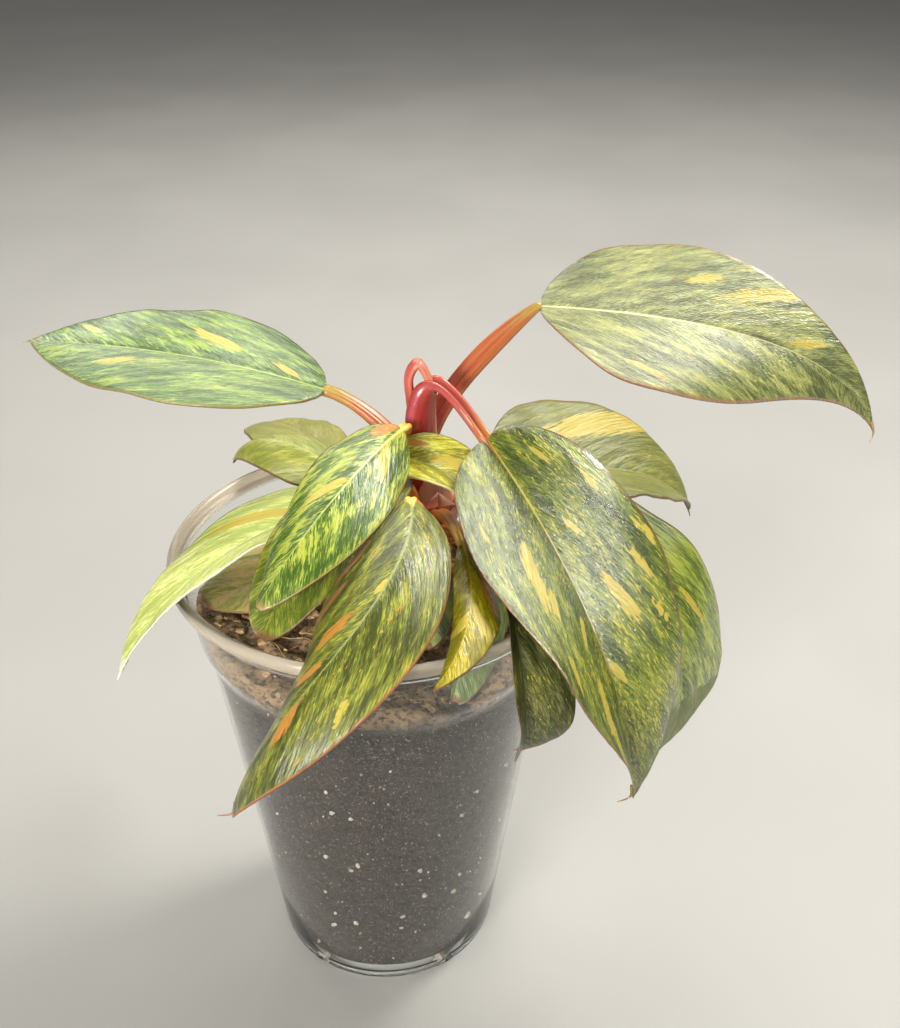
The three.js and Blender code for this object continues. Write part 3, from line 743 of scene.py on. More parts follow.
def rib_points(leaf, s):
    """Points on the midrib, at the shares s of its length."""
    middles = (np.arange(RIB_STEPS) + 0.5) / RIB_STEPS
    steps = rib_directions(leaf, middles) * leaf["length"] / RIB_STEPS
    stations = np.vstack([np.zeros(3), np.cumsum(steps, 0)]) + np.array(leaf["base"])
    shares = np.arange(RIB_STEPS + 1) / RIB_STEPS
    return np.stack([np.interp(s, shares, stations[:, axis]) for axis in range(3)], -1)


def outline(leaf, s):
    """Half width of a blade as a share of its widest half width."""
    taper = BLUNTNESS * (1 - leaf["broad"]) / leaf["broad"]
    widest = leaf["broad"] ** BLUNTNESS * (1 - leaf["broad"]) ** taper
    return s**BLUNTNESS * (1 - s) ** taper / widest


def half_width(leaf, s, v):
    return leaf["width"] / 2 * (1 + np.sign(v) * leaf["skew"]) * outline(leaf, s)


def margin_lift(leaf, s, v):
    """How far the waves and the tuck of the margin lift a blade's surface."""
    reach = np.abs(v)
    wave = np.sin(2 * math.pi * (leaf["waves"] * s + np.where(v > 0, WAVE_SHIFT, 0)))
    tuck = np.where(v < 0, leaf["tuck"] * np.clip((reach - TUCK_START) / (1 - TUCK_START), 0, 1) ** 2, 0)
    return (leaf["wave"] * wave * reach**3 - tuck) * outline(leaf, s)


def blade_points(leaf, s, v):
    """Points on a blade's middle surface, s along the midrib and v across it."""
    heading = np.radians(leaf["heading"] + leaf["turn"] * s)
    flat_side = np.stack([np.sin(heading), -np.cos(heading), np.zeros_like(s)], -1)
    flat_up = np.cross(flat_side, rib_directions(leaf, s))
    roll = np.radians(leaf["roll"] + leaf["twist"] * s)[..., None]
    side = flat_side * np.cos(roll) + flat_up * np.sin(roll)
    up = flat_up * np.cos(roll) - flat_side * np.sin(roll)
    reach = np.abs(v)
    half = (half_width(leaf, s, v) * reach)[..., None]
    lift = np.radians(leaf["fold"] - leaf["curl"] * reach / 2)[..., None]
    margin = margin_lift(leaf, s, v)[..., None]
    outward = side * np.sign(v)[..., None]
    points = rib_points(leaf, s) + outward * (half * np.cos(lift) - margin * np.sin(lift))
    return points + up * (half * np.sin(lift) + margin * np.cos(lift))


def blade_normals(leaf, s, v):
    step = 0.01
    ahead = blade_points(leaf, np.minimum(s + step, 1 - step / 2), v)
    behind = blade_points(leaf, np.maximum(s - step, step / 2), v)
    right = blade_points(leaf, s, np.minimum(v + step, 1))
    left = blade_points(leaf, s, np.maximum(v - step, -1))
    return unit(np.cross(right - left, ahead - behind))


# Side veins: how far they run ahead per millimetre from the midrib, and per its square.
VEIN_SLANT = 1.5
VEIN_BOW = 0.04
# Scales of the map "veins": across the side veins, and along them.
VEIN_MAP = (0.05, 0.2)
# Dry hair tips: where each ends, in millimetres from the end of its blade.
HAIR_TIPS = {
    "front_right": (-3.2, -0.4, -0.8),
    "front": (-3.2, -0.3, 0.1),
    "upper_right": (-0.9, -0.6, -2.2),
    "rim_right": (-1.4, 0.2, -0.3),
    "upper_left": (-1.5, -0.2, -0.5),
    "left_long": (-0.6, -0.6, -1.2),
    "back_right": (0.5, -0.4, -1.8),
}
HAIR_STEPS = 16
BLADE_ALONG = 96
BLADE_ACROSS = 44


def blade_detail(leaf, s, v, lateral, across, settings, seed):
    """Height of the fine relief over the plain surface, in millimetres."""
    groove = -0.3 * np.exp(-((lateral / 0.7) ** 2)) * np.clip(1.1 - s, 0, 1)
    puckers = np.array([
        noise.fractal(Vector((a * 0.16, b * 0.16, seed + (b > 0) * 9)), 1, 2, 2)
        for a, b in zip(across, lateral)
    ])
    puckers *= settings.vein_relief / MM * np.clip(np.abs(lateral) / 2, 0, 1)
    count = 4.3 + seed % 1.7
    ripples = np.sin(2 * math.pi * (count * s + seed) + np.where(v > 0, 1.9, 0))
    ripples = ripples * settings.margin_wave / MM * np.abs(v) ** 4 * outline(leaf, s) * leaf["width"] / 40
    return groove + puckers + ripples


def sector_values(leaf, values, across, lateral):
    """How much each point belongs to the yellow, orange and blush patches: a third at their borders."""
    sectors = np.zeros((len(across), 4))
    patches = [(kind, *patch) for kind, label in enumerate(PATCH_KINDS) for patch in values[label]]
    for kind, s, v, wide, long in patches:
        middle = half_width(leaf, np.array([s]), np.array([v])) * v
        start = s * leaf["length"] - VEIN_SLANT * abs(middle) - VEIN_BOW * middle**2
        same_side = np.where(np.sign(lateral) == np.sign(v), 0, 99)
        distance = np.hypot((across - start) * 0.5 / wide, (lateral - middle) * 2 / long) + same_side
        sectors[:, kind] = np.maximum(sectors[:, kind], np.clip(1.5 - distance, 0, 1.5) / 1.5)
    sectors[:, 3] = 1
    return sectors


def hair_tip(bm, leaf, leaf_map):
    """The dry thread at the end of a blade."""
    end = rib_points(leaf, np.array([BLADE_END]))[0]
    ahead = rib_directions(leaf, np.array([1.0]))[0]
    goal = np.array(HAIR_TIPS[leaf["name"]])
    knots = [end - ahead * 2.5, end, end + ahead * 0.9 + goal * 0.25, end + ahead * 0.9 + goal]
    points, directions = smooth_path(knots, HAIR_STEPS)
    radius = np.linspace(0.42, 0.1, HAIR_STEPS)
    made = tube(bm, points, directions, np.array([0.2, 0.3, 1]), radius, radius, 8)
    faces = faces_of(made)
    for face in faces:
        face.material_index = 0
    lay_map(faces, leaf_map, lambda vertex: (0.5, 1))


def make_blade(leaf, values, seed, settings, materials):
    """One leaf blade: a grid laid along the leaf's surface and given its thickness."""
    bm = bmesh.new()
    bmesh.ops.create_grid(bm, x_segments=BLADE_ACROSS, y_segments=BLADE_ALONG, size=1)
    flat = np.array([vertex.co[:2] for vertex in bm.verts])
    eased = (1 - np.cos(math.pi * (flat[:, 1] + 1) / 2)) / 2
    s = BLADE_START + (BLADE_END - BLADE_START) * eased
    v = np.sign(flat[:, 0]) * np.abs(flat[:, 0]) ** 1.15
    lateral = half_width(leaf, s, v) * v
    across = s * leaf["length"] - VEIN_SLANT * np.abs(lateral) - VEIN_BOW * lateral**2
    detail = blade_detail(leaf, s, v, lateral, across, settings, seed)
    thick = settings.blade_thickness / MM
    normals = blade_normals(leaf, s, v)
    points = blade_points(leaf, s, v) + normals * (detail + thick / 2)[:, None]
    sectors = sector_values(leaf, values, across, lateral)
    sector_layer = bm.verts.layers.float_color.new("sectors")
    for vertex, point, sector in zip(bm.verts, points, sectors):
        vertex.co = point
        vertex[sector_layer] = sector
    leaf_map = bm.loops.layers.uv.new("leaf")
    vein_map = bm.loops.layers.uv.new("veins")
    lay_map(bm.faces, leaf_map, lambda vertex: ((v[vertex.index] + 1) / 2, s[vertex.index]))
    veins = np.stack([across * VEIN_MAP[0], lateral * VEIN_MAP[1]], -1)
    lay_map(bm.faces, vein_map, lambda vertex: veins[vertex.index])
    made = bmesh.ops.solidify(bm, geom=list(bm.faces), thickness=thick)
    for face in (f for f in made["geom"] if isinstance(f, bmesh.types.BMFace)):
        face.material_index = 1
    bmesh.ops.recalc_face_normals(bm, faces=bm.faces)
    if leaf["name"] in HAIR_TIPS:
        hair_tip(bm, leaf, leaf_map)
    return finish_piece("leaf_" + leaf["name"], bm, materials, ["blade_" + leaf["name"]], values["slot"])


def crown_share(z):
    return (z - CROWN_FOOT[2]) / (CROWN_TOP[2] - CROWN_FOOT[2])


def crown_axis(z):
    return np.array(CROWN_FOOT) + (np.array(CROWN_TOP) - np.array(CROWN_FOOT)) * crown_share(z)


def petiole_line(leaf, t):
    """Points and directions of a petiole's middle line, at the shares t of its length."""
    start = crown_axis(leaf["node"])
    out = np.array(leaf["base"]) - start
    heading = math.atan2(out[1], out[0])
    swung = heading + math.radians(leaf["swing"])
    leave = math.radians(leaf["leave"])
    first = np.array([*on_circle(math.cos(leave), swung), math.sin(leave)])
    last = rib_directions(leaf, np.array([0.0]))[0]
    end = np.array(leaf["base"]) - last * SEAT_GAP
    knots = [start, start + first * leaf["climb"], end - last * leaf["reach"], end]
    t = t[:, None]
    weights = [(1 - t) ** 3, 3 * t * (1 - t) ** 2, 3 * t**2 * (1 - t), t**3]
    points = sum(w * k for w, k in zip(weights, knots))
    slopes = [3 * (1 - t) ** 2, 6 * t * (1 - t), 3 * t**2]
    directions = sum(w * (b - a) for w, a, b in zip(slopes, knots, knots[1:]))
    side = np.array([math.sin(heading), -math.cos(heading), 0])
    return points, unit(directions), side


def tube(bm, points, directions, side, wide, deep, sides, crease=0.0):
    """A closed rod through points: a grid wrapped round the line, with its ends filled."""
    rings = len(points)
    made = bmesh.ops.create_grid(bm, x_segments=sides, y_segments=rings - 1, size=1)["verts"]
    stem_map = bm.loops.layers.uv.get("stem") or bm.loops.layers.uv.new("stem")
    spots = {}
    for vertex in made:
        around = (vertex.co.x + 1) / 2
        ring = round((vertex.co.y + 1) / 2 * (rings - 1))
        spots[vertex] = (around, ring)
    for vertex, (around, ring) in spots.items():
        direction = directions[ring]
        across = unit(side - direction * np.dot(side, direction))
        above = np.cross(across, direction)
        angle = 2 * math.pi * around
        x = math.cos(angle)
        z = math.sin(angle)
        top = max(z, 0)
        lift = z - crease * top * (1 - abs(x)) ** 2 * 1.6 + crease * 0.5 * top * abs(x) ** 4
        vertex.co = points[ring] + across * (x * wide[ring]) + above * (lift * deep[ring])
    lay_map(faces_of(made), stem_map, lambda vertex: (spots[vertex][0], spots[vertex][1] / (rings - 1)))
    kept = set(bm.verts) - set(made)
    bmesh.ops.remove_doubles(bm, verts=[vertex for vertex in bm.verts if vertex not in kept], dist=1e-4)
    open_edges = [edge for edge in bm.edges if edge.is_boundary]
    bmesh.ops.holes_fill(bm, edges=open_edges)
    return made


PETIOLE_RINGS = 48
PETIOLE_SIDES = 24
RIB_SHARE = 0.3


def make_petiole(leaf, material):
    """A petiole that runs on as a fading rib under its blade."""
    t = np.linspace(0.03, 1, PETIOLE_RINGS)
    points, directions, side = petiole_line(leaf, t)
    low = leaf["sheath_end"] - SHEATH_FADE
    fade = np.clip((t - low) / (SHEATH_FADE * 1.5), 0, 1)
    fade = fade * fade * (3 - 2 * fade)
    wide = leaf["sheath"] + (leaf["stalk"] - leaf["sheath"]) * fade
    winged, plump = RED_PETIOLES.get(leaf["name"], (0, PLAIN_PLUMP))
    wide = wide * plump
    deep = wide * (0.75 - 0.1 * winged * (1 - fade))
    under = np.linspace(0.008, RIB_SHARE, 20)
    thin = leaf["stalk"] * np.linspace(0.8, 0.2, len(under))
    above = 0.3 * np.clip(1 - under / 0.06, 0, 1)
    rib = rib_points(leaf, under)
    rib -= blade_normals(leaf, under, np.zeros_like(under)) * (thin * 0.75 - above)[:, None]
    points = np.vstack([points, rib])
    directions = np.vstack([directions, rib_directions(leaf, under)])
    wide = np.concatenate([wide, thin])
    deep = np.concatenate([deep, thin * 0.75])
    bm = bmesh.new()
    tube(bm, points, directions, side, wide, deep, PETIOLE_SIDES, crease=0.3 + 0.5 * winged)
    bmesh.ops.recalc_face_normals(bm, faces=bm.faces)
    slot = "petiole_red" if leaf["name"] in RED_PETIOLES else "petiole_gold"
    return finish_piece("stalk_" + leaf["name"], bm, [material], ["petiole_" + leaf["name"]], slot)


def smooth_path(knots, count):
    """Points and directions of a curve through knots."""
    knots = np.array(knots, float)
    padded = np.vstack([2 * knots[0] - knots[1], knots, 2 * knots[-1] - knots[-2]])
    where = np.linspace(0, len(knots) - 1, count)
    points = []
    for value in where:
        i = min(int(value), len(knots) - 2)
        t = value - i
        a, b, c, d = padded[i : i + 4]
        bend = (2 * a - 5 * b + 4 * c - d) * t * t + (3 * b - a - 3 * c + d) * t**3
        points.append(0.5 * (2 * b + (c - a) * t + bend))
    points = np.array(points)
    return points, unit(np.gradient(points, axis=0))


def make_new_leaf(material):
    points, directions = smooth_path(NEW_LEAF_PATH, NEW_LEAF_STEPS)
    wide = np.linspace(2.4, 1.7, NEW_LEAF_STEPS)
    bm = bmesh.new()
    tube(bm, points, directions, np.array([0, 1, 0]), wide, wide * 0.58, 24, crease=0.5)
    bmesh.ops.recalc_face_normals(bm, faces=bm.faces)
    return finish_piece("rolled_leaf", bm, [material], ["new_leaf"], "new_leaf_pink")


def crown_radius(z):
    scar = SCAR_HEIGHT * np.abs(np.sin(math.pi * (z - CROWN_FOOT[2]) / SCAR_PITCH))
    sheath = SHEATH_BULGE * np.exp(-(((z - SHEATH_Z) / SHEATH_SPAN) ** 2))
    return CROWN_RADIUS + (CROWN_TIP_RADIUS - CROWN_RADIUS) * crown_share(z) ** 3 + scar + sheath


# Old sheaths on the crown: heading, foot height, length, span in degrees and how far the top flares.
BRACTS = (
    (-95, 104, 20, 170, 0.6),
    (-30, 109, 19, 150, 1.2),
    (-150, 112, 18, 150, 0.9),
    (-75, 117, 15, 130, 1.6),
    (60, 108, 18, 170, 0.8),
    (140, 115, 15, 150, 0.8),
)


def make_bract(bm, heading, foot, length, span, flare):
    """A pointed papery sheath that wraps part of the crown."""
    made = bmesh.ops.create_grid(bm, x_segments=18, y_segments=16, size=1)["verts"]
    stem_map = bm.loops.layers.uv.get("stem") or bm.loops.layers.uv.new("stem")
    spots = {vertex: ((vertex.co.x + 1) / 2, (vertex.co.y + 1) / 2) for vertex in made}
    for vertex, (u, w) in spots.items():
        z = foot + length * w * (1 - 0.25 * abs(2 * u - 1) ** 2)
        angle = math.radians(heading + (u - 0.5) * span * (1 - w**4) ** 0.5)
        radius = crown_radius(min(z, CROWN_TOP[2])) + 0.15 + flare * w**2 + 0.25 * math.sin(7 * u + heading)
        vertex.co = crown_axis(z) + np.array([*on_circle(radius, angle), 0])
    faces = faces_of(made)
    lay_map(faces, stem_map, lambda vertex: (0.02 + 0.46 * spots[vertex][0], spots[vertex][1]))
    bmesh.ops.solidify(bm, geom=faces, thickness=0.3)


def make_crown(material):
    """The crown with its scars, and the papery sheaths left round it."""
    rings = 70
    heights = np.linspace(CROWN_FOOT[2], CROWN_TOP[2], rings)
    points = np.array([crown_axis(z) for z in heights])
    radius = crown_radius(heights)
    directions = np.tile(unit(np.array(CROWN_TOP) - np.array(CROWN_FOOT)), (rings, 1))
    bm = bmesh.new()
    tube(bm, points, directions, np.array([0, -1, 0]), radius, radius, 40)
    for bract in BRACTS:
        make_bract(bm, *bract)
    bmesh.ops.remove_doubles(bm, verts=bm.verts, dist=1e-4)
    bmesh.ops.recalc_face_normals(bm, faces=bm.faces)
    return finish_piece("crown", bm, [material], ["crown_stem"], "crown_sheath")


def wall_radius(z):
    """Outer radius of the cup's tapered wall."""
    if z < RING_Z:
        return CORNER_RADIUS + (RING_RADIUS - CORNER_RADIUS) * (z - CORNER_HEIGHT) / (RING_Z - CORNER_HEIGHT)
    low = RING_RADIUS + RING_STEP
    return low + (SHOULDER_RADIUS - low) * (z - RING_Z) / (SHOULDER_Z - RING_Z)


def spin_profile(bm, profile, steps):
    """A closed solid of revolution from (radius, height) points, the first and last on the axis."""
    vertices = [bm.verts.new((radius, 0, z)) for radius, z in profile]
    edges = [bm.edges.new(pair) for pair in zip(vertices, vertices[1:])]
    bmesh.ops.spin(
        bm, geom=vertices + edges, cent=(0, 0, 0), axis=(0, 0, 1), angle=2 * math.pi,
        steps=steps, use_merge=True,
    )
    bmesh.ops.remove_doubles(bm, verts=bm.verts, dist=1e-4)
    bmesh.ops.recalc_face_normals(bm, faces=bm.faces)


def arc(centre, radii, start, end, count):
    """Points of an elliptic arc in the profile's plane, angles in degrees."""
    angles = np.radians(np.linspace(start, end, count))
    return [(centre[0] + radii[0] * math.cos(a), centre[1] + radii[1] * math.sin(a)) for a in angles]


def s_curve(low, high, count=9):
    """Points from one (radius, height) to another, level with the wall at both ends."""
    shares = [k / (count - 1) for k in range(count)]
    turns = [share * share * (3 - 2 * share) for share in shares]
    return [
        (low[0] + (high[0] - low[0]) * turn, low[1] + (high[1] - low[1]) * share)
        for share, turn in zip(shares, turns)
    ]


def cup_profile(wall):
    corner_middle = FOOT_RADIUS - 0.6
    corner = arc((corner_middle, CORNER_HEIGHT), (CORNER_RADIUS - corner_middle, CORNER_HEIGHT), -75, 0, 7)
    rim_foot = CUP_HEIGHT - RIM_DEPTH
    rim_middle = RIM_RADIUS - RIM_BAND / 2
    upper = SHOULDER_RADIUS + SHOULDER_STEP
    rim = arc((rim_middle, CUP_HEIGHT - RIM_DEPTH / 2), (RIM_BAND / 2, RIM_DEPTH / 2), -60, 180, 14)
    ring = s_curve((wall_radius(RING_Z - 3.5), RING_Z - 3.5), (wall_radius(RING_Z + 4.7), RING_Z + 4.7), 15)
    shoulder = s_curve((SHOULDER_RADIUS - 0.05, SHOULDER_Z - 0.6), (upper, SHOULDER_Z + 1.2))
    return [
        (0, FLOOR_Z),
        (FLOOR_RADIUS - 1, FLOOR_Z),
        (FLOOR_RADIUS, FLOOR_Z - 0.4),
        (FOOT_RADIUS - FOOT_WIDTH - 0.3, 0.5),
        (FOOT_RADIUS - FOOT_WIDTH + 0.2, 0),
        (FOOT_RADIUS - 0.4, 0),
        *corner,
        *[(wall_radius(z), z) for z in WALL_LEVELS],
        *ring,
        *shoulder,
        (upper, rim_foot - 0.3),
        *rim,
        (upper - wall, rim_foot),
        *[(radius - wall, z) for radius, z in reversed(ring + shoulder)],
        *[(wall_radius(z) - wall, z) for z in reversed(WALL_LEVELS)],
        (CORNER_RADIUS - wall, CORNER_HEIGHT + 0.5),
        (CORNER_RADIUS - wall - 0.7, CORNER_HEIGHT * 0.45),
        (FOOT_RADIUS - FOOT_WIDTH + 0.6, wall + 0.2),
        (FLOOR_RADIUS + 0.3, FLOOR_Z + wall),
        (0, FLOOR_Z + wall),
    ]


def make_cup(settings, material):
    """The cup, with its drain holes cut."""
    bm = bmesh.new()
    spin_profile(bm, cup_profile(settings.cup_wall / MM), CUP_STEPS)
    cup = finish_piece("clear_cup", bm, [material], ["cup"], "cup_clear")
    bm = bmesh.new()
    for heading in DRAIN_HEADINGS:
        turn = Matrix.Rotation(math.radians(heading), 4, "Z")
        lie = Matrix.Rotation(math.pi / 2, 4, "Y")
        place = turn @ Matrix.Translation((FOOT_RADIUS, 0, DRAIN_Z)) @ lie
        bmesh.ops.create_cone(
            bm, cap_ends=True, segments=24, radius1=DRAIN_RADIUS, radius2=DRAIN_RADIUS, depth=14,
            matrix=place,
        )
    drill = mesh_object("drill", bm)
    cut = cup.modifiers.new("drain holes", "BOOLEAN")
    cut.operation = "DIFFERENCE"
    cut.solver = "EXACT"
    cut.object = drill
    drilled = bpy.data.meshes.new_from_object(cup.evaluated_get(bpy.context.evaluated_depsgraph_get()))
    cup.modifiers.clear()
    cup.data = drilled
    bpy.data.objects.remove(drill)
    return cup


def soil_relief(x, y):
    """The potting mix's broad relief, as in the solid."""
    waves = math.sin(x * 0.61 + 1.3) * math.cos(y * 0.53) + math.sin(x * 0.23 - y * 0.37)
    reach = math.hypot(x, y) / RING_RADIUS
    height = SOIL_RELIEF * waves / 2 + SOIL_DOME * (1 - reach)
    for heading, rise, spread in SOIL_HEAPS:
        away = (math.degrees(math.atan2(y, x)) - heading + 180) % 360 - 180
        height += rise * math.exp(-((away / spread) ** 2)) * reach**2
    return height


def soil_height(x, y):
    crumbs = noise.fractal(Vector((x * 0.28, y * 0.28, 0)), 1, 2, 3)
    return SOIL_Z + soil_relief(x, y) + 1.1 * crumbs


def make_soil(settings, material):
    """The potting mix: a crumbly plug pressed against the cup's wall."""
    inset = settings.cup_wall / MM + SOIL_GAP
    floor = FLOOR_Z + inset
    low = (CORNER_RADIUS - inset - 0.6, CORNER_HEIGHT + 1.2)
    heights = [low[1] + (SOIL_Z - low[1]) * k / SOIL_ROWS for k in range(1, SOIL_ROWS + 1)]
    sides = [low, *[(wall_radius(z) - inset, z) for z in heights]]
    edge = sides[-1][0]
    top = [(edge * (1 - k / SOIL_RINGS), SOIL_Z) for k in range(1, SOIL_RINGS + 1)]
    floor_points = [(0, floor), (10, floor), (FLOOR_RADIUS - SOIL_GAP, floor)]
    bm = bmesh.new()
    spin_profile(bm, floor_points + sides + top, SOIL_STEPS)
    for vertex in bm.verts:
        x, y, z = vertex.co
        radius = math.hypot(x, y)
        level = soil_height(x, y)
        pit = noise.fractal(Vector((x * 0.35, y * 0.35, z * 0.35)), 1, 2, 4)
        push = min(0, 0.8 * pit - 0.1)
        if z > SOIL_Z - 0.1:
            vertex.co.z = level
            if radius > edge - 0.1:
                vertex.co.x = x / radius * (wall_radius(level) - inset)
                vertex.co.y = y / radius * (wall_radius(level) - inset)
        elif radius > FLOOR_RADIUS:
            share = max(0, (z - SOIL_LIFT_Z) / (SOIL_Z - SOIL_LIFT_Z))
            lifted = z + share * (level - SOIL_Z)
            reach = (wall_radius(lifted) - inset + push) if z > CORNER_HEIGHT + 3 else radius
            vertex.co = (x / radius * reach, y / radius * reach, lifted)
    return finish_piece("potting_mix", bm, [material], ["soil"], "potting_mix")


def soil_spot(rng, margin):
    """A place on top of the potting mix, clear of the crown."""
    limit = wall_radius(SOIL_Z) - 1.2 - margin
    while True:
        radius = math.sqrt(rng.random()) * limit
        angle = rng.uniform(0, 2 * math.pi)
        x, y = on_circle(radius, angle)
        if math.hypot(x - CROWN_FOOT[0] - 1, y - CROWN_FOOT[1]) >= CROWN_RADIUS + 1.5:
            return x, y


# Larger grains seen through the wall: heading, height and size.
SEEN_GRAINS = (
    (-110, 68, 0.9), (-103, 67, 0.7), (-74, 35, 0.95), (-59, 32, 0.8), (-57, 38, 0.6), (-47, 17, 1.1),
    (-84, 28, 0.7), (-118, 22, 0.9), (-106, 25, 0.8), (-105, 47, 0.7), (-116, 50, 0.6),
)


def make_perlite(settings, material):
    """White grains: pressed against the wall, on top, and two lumps at the drain holes."""
    rng = random.Random(5)
    bm = bmesh.new()
    inset = settings.cup_wall / MM + SOIL_GAP * 0.5

    def grain(centre, size, stretch=1.0):
        made = bmesh.ops.create_icosphere(bm, subdivisions=1 if size < 0.4 else 2, radius=size)["verts"]
        offset = Vector([rng.uniform(0, 50) for _ in range(3)])
        for vertex in made:
            vertex.co *= 1 + 0.5 * noise.noise(vertex.co / size * 1.1 + offset)
            vertex.co.z *= stretch
            vertex.co += Vector(centre)

    def wall_grain(heading, z, size):
        radius = wall_radius(z) - inset - size * 0.75
        grain((*on_circle(radius, heading), z), size)

    for heading, z, size in SEEN_GRAINS:
        wall_grain(math.radians(heading), z, size)
    for _ in range(settings.perlite_count):
        size = 0.1 + 0.5 * rng.random() ** 5
        if rng.random() < 0.8:
            wall_grain(rng.uniform(0, 2 * math.pi), rng.uniform(CORNER_HEIGHT + 3, SOIL_Z - 2), size)
        else:
            x, y = soil_spot(rng, 1.5)
            grain((x, y, soil_height(x, y) + size * 0.4), size * 1.3, 0.8)
    for heading in DRAIN_HEADINGS[:2]:
        grain((*on_circle(FOOT_RADIUS, math.radians(heading)), DRAIN_Z + 0.2), 1.5, 0.9)
    return finish_piece("perlite", bm, [material], [], "potting_mix")


def make_bark(settings, material):
    """Chips of bark and husk on top of the potting mix."""
    rng = random.Random(8)
    bm = bmesh.new()
    for _ in range(settings.bark_count):
        length = 1 + 3 * rng.random() ** 1.6
        wide = length * rng.uniform(0.4, 0.85)
        made = bmesh.ops.create_cube(bm, size=1)["verts"]
        edges = list({edge for vertex in made for edge in vertex.link_edges})
        bmesh.ops.scale(bm, vec=(length, wide, rng.uniform(0.4, 0.9)), verts=made)
        made = bmesh.ops.bevel(
            bm, geom=edges, offset=0.18, segments=1, profile=0.5, affect="EDGES", material=-1,
        )["verts"]
        x, y = soil_spot(rng, 0.6 + length / 2)
        turn = Matrix.Rotation(rng.uniform(0, math.pi), 4, "Z")
        tilt = Matrix.Rotation(rng.uniform(-0.45, 0.45), 4, "Y")
        place = Matrix.Translation((x, y, soil_height(x, y) + 0.35))
        bmesh.ops.transform(bm, matrix=place @ turn @ tilt, verts=made)
    return finish_piece("bark_chips", bm, [material], [], "potting_mix", smooth=False)


# Fibres heaped against the front of the wall: headings in degrees, and distance from the axis.
FIBRE_HEAP = (255, 285)
FIBRE_HEAP_RADIUS = 38.5
FIBRE_STEPS = 12


def make_fibres(settings, material):
    """Coir fibres, each a thin bent strand that lies on the potting mix."""
    rng = random.Random(13)
    bm = bmesh.new()
    for strand in range(settings.fibre_count):
        length = rng.uniform(4, 12)
        heading = rng.uniform(0, 2 * math.pi)
        x, y = soil_spot(rng, 3 + length / 2)
        if strand % 4 == 0:
            angle = math.radians(rng.uniform(*FIBRE_HEAP))
            x, y = on_circle(FIBRE_HEAP_RADIUS, angle)
            length, heading = rng.uniform(3, 8), angle + math.pi / 2 + rng.uniform(-0.5, 0.5)
        knots = []
        for k in range(4):
            reach = length * (k / 3 - 0.5)
            bend = rng.uniform(-1, 1)
            px = x + reach * math.cos(heading) - bend * math.sin(heading)
            py = y + reach * math.sin(heading) + bend * math.cos(heading)
            knots.append((px, py, soil_height(px, py) + rng.uniform(0.1, 0.9)))
        points, directions = smooth_path(knots, FIBRE_STEPS)
        radius = np.linspace(1, 0.5, FIBRE_STEPS) * rng.uniform(0.08, 0.2)
        tube(bm, points, directions, np.array([0.3, 0.2, 1]), radius, radius, 5)
    bmesh.ops.recalc_face_normals(bm, faces=bm.faces)
    return finish_piece("fibres", bm, [material], [], "potting_mix")


# What lies on the potting mix: its maker and material, the material's dark, light and fleck
# colours, the scale of its grain and its roughness.
TOPPINGS = (
    (make_perlite, "perlite", ("#8f887c", "#bdb6a9", "#857c6d"), 900, 0.8),
    (make_bark, "bark", ("#6e4f32", "#c09c70", "#dcc096"), 320, 0.8),
    (make_fibres, "fibre", ("#8f7246", "#c9a970", "#dcc596"), 300, 0.7),
)


# Operators


class PLANT_OT_cup(bpy.types.Operator):
    """Make the clear cup"""

    bl_idname = "plant.cup"
    bl_label = "Clear cup"

    def execute(self, context):
        make_cup(context.scene.plant, clear_material())
        return {"FINISHED"}


class PLANT_OT_potting_mix(bpy.types.Operator):
    """Make the potting mix with its perlite, bark and fibres"""

    bl_idname = "plant.potting_mix"
    bl_label = "Potting mix"

    def execute(self, context):
        settings = context.scene.plant
        dark, light = tuple(settings.soil_dark), tuple(settings.soil_light)
        mix = crumb_material("mix", dark, light, rgb("#8a8074"), 560, 0.95, rgb("#8f7454"))
        make_soil(settings, mix)
        for make, name, colours, scale, rough in TOPPINGS:
            make(settings, crumb_material(name, *map(rgb, colours), scale, rough))
        return {"FINISHED"}


class PLANT_OT_stems(bpy.types.Operator):
    """Make the crown, the petioles and the rolled new leaf"""

    bl_idname = "plant.stems"
    bl_label = "Crown and petioles"

    def execute(self, context):
        group = stem_colours()
        skins = {name: stem_material(name, group) for name in SKINS}
        make_crown(skins["crown"])
        for leaf in LEAVES:
            make_petiole(leaf, skins[PETIOLE_SKINS.get(leaf["name"], "gold_stalk")])
        make_new_leaf(skins["rolled_leaf"])
        return {"FINISHED"}


class PLANT_OT_blades(bpy.types.Operator):
    """Make the leaf blades"""

    bl_idname = "plant.blades"
    bl_label = "Leaf blades"

    def execute(self, context):
        settings = context.scene.plant
        group = leaf_colours()
        under = underside_material()
        for index, leaf in enumerate(LEAVES):
            values = LOOKS[leaf["name"]]
            seed = index * 1.7
            top = leaf_material(leaf["name"], values, seed, settings, group)
            make_blade(leaf, values, seed, settings, [top, top if values["same_under"] else under])
        return {"FINISHED"}


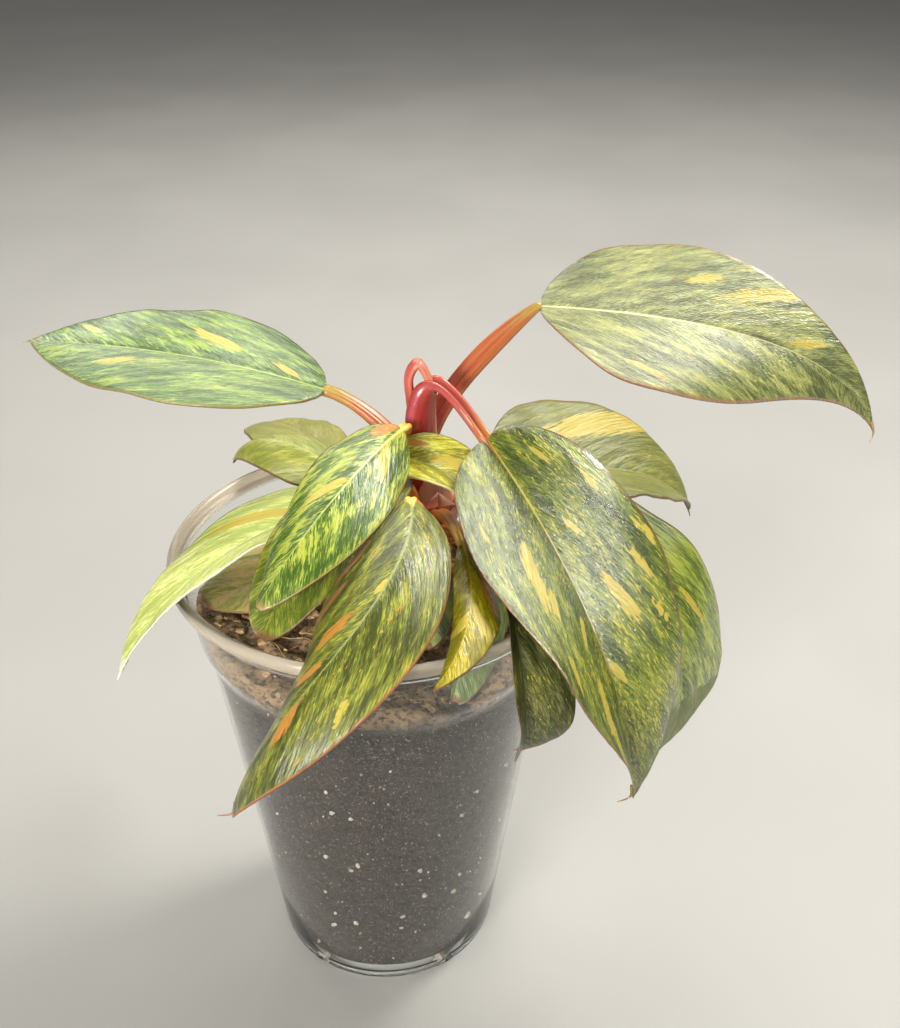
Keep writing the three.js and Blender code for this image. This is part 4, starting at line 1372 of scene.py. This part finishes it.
# Softboxes: name, heading and height in degrees seen from the crown, then distance, width and
# height in metres, and brightness.
SOFTBOXES = (
    ("top_back", 92, 57, 0.8, 0.34, 0.24, 8),
    ("right_back", 32, 50, 0.8, 0.2, 0.36, 27),
    ("right", 0, 48, 0.8, 0.34, 0.34, 5.5),
    ("low_back", 95, 19, 0.9, 0.6, 0.18, 2.2),
    ("left_back", 128, 38, 0.8, 0.28, 0.22, 6),
    ("front_left", 235, 40, 1.2, 1.1, 0.9, 0.5),
    ("front_right", 300, 35, 1.2, 1.1, 0.9, 0.5),
    ("low_front", 240, 16, 0.9, 0.36, 0.2, 34),
)
CROWN_PLACE = (0, 0, 0.14)
WARM = (1, 0.97, 0.89)
WORLD_COLOUR = (1, 0.97, 0.93, 1)
WORLD_STRENGTH = 0.15
EXPOSURE = 0.05
FLOOR_HALF = 6


def add_softbox(name, heading, height, distance, wide, tall, brightness):
    light = bpy.data.lights.new(name, "AREA")
    light.shape = "RECTANGLE"
    light.size, light.size_y = wide, tall
    light.energy = brightness * math.pi * wide * tall
    light.color = WARM
    lamp = new_object(name, light)
    heading, height = math.radians(heading), math.radians(height)
    flat = math.cos(height)
    outward = Vector((*on_circle(flat, heading), math.sin(height)))
    lamp.location = Vector(CROWN_PLACE) + outward * distance
    lamp.rotation_euler = outward.to_track_quat("Z", "Y").to_euler()
    lamp.visible_camera = False


class PLANT_OT_stage(bpy.types.Operator):
    """Make the floor, the lights and the camera"""

    bl_idname = "plant.stage"
    bl_label = "Stage"

    def execute(self, context):
        settings = context.scene.plant
        material, tree, shader = new_material("floor")
        dust = tree.noise(tree.place(), 9, 3)
        pale = tuple(settings.floor)
        dim = tuple(0.96 * value for value in pale[:3]) + (1,)
        colour = tree.mix(tree.step(dust, 0.35, 0.65), dim, pale)
        tree.feed(shader, Base_Color=colour, Roughness=tree.step(dust, 0.3, 0.7, 0.6, 0.75))
        bm = bmesh.new()
        bmesh.ops.create_grid(bm, x_segments=1, y_segments=1, size=FLOOR_HALF)
        mesh = bpy.data.meshes.new("floor")
        bm.to_mesh(mesh)
        bm.free()
        mesh.materials.append(material)
        floor = new_object("floor", mesh)
        floor.location.z = CUP_LOW.z
        world = bpy.data.worlds.new("studio")
        world.use_nodes = True
        background = world.node_tree.nodes["Background"]
        background.inputs["Color"].default_value = WORLD_COLOUR
        background.inputs["Strength"].default_value = WORLD_STRENGTH
        context.scene.world = world
        for panel in SOFTBOXES:
            add_softbox(*panel)
        context.scene.view_settings.view_transform = "Standard"
        context.scene.view_settings.exposure = EXPOSURE
        camera_data = bpy.data.cameras.new("camera")
        camera_data.sensor_width = SENSOR_MM
        camera_data.lens = CAMERA_FOCAL_PX / FRAME_LONG_PX * SENSOR_MM
        camera = new_object("camera", camera_data)
        camera.location = CUP_AXIS + Vector(CAMERA_PLACE) * MM
        camera.rotation_euler = (math.radians(90 - CAMERA_PITCH), 0, math.radians(-CAMERA_YAW))
        context.scene.camera = camera
        return {"FINISHED"}


class PLANT_PT_panel(bpy.types.Panel):
    """Lists the plant's pieces"""

    bl_label = "Plant"
    bl_idname = "PLANT_PT_panel"
    bl_space_type = "VIEW_3D"
    bl_region_type = "UI"
    bl_category = "Plant"

    def draw(self, context):
        settings = context.scene.plant
        for name in Plant.__annotations__:
            self.layout.prop(settings, name)
        for operator in OPERATORS:
            self.layout.operator(operator.bl_idname)


OPERATORS = (PLANT_OT_cup, PLANT_OT_potting_mix, PLANT_OT_stems, PLANT_OT_blades, PLANT_OT_stage)
CLASSES = (Plant, *OPERATORS, PLANT_PT_panel)


def register():
    for cls in CLASSES:
        bpy.utils.register_class(cls)
    bpy.types.Scene.plant = bpy.props.PointerProperty(type=Plant)


def unregister():
    del bpy.types.Scene.plant
    for cls in reversed(CLASSES):
        bpy.utils.unregister_class(cls)


def main():
    register()
    bpy.ops.plant.cup()
    bpy.ops.plant.potting_mix()
    bpy.ops.plant.stems()
    bpy.ops.plant.blades()
    bpy.ops.plant.stage()


if __name__ == "__main__":
    main()
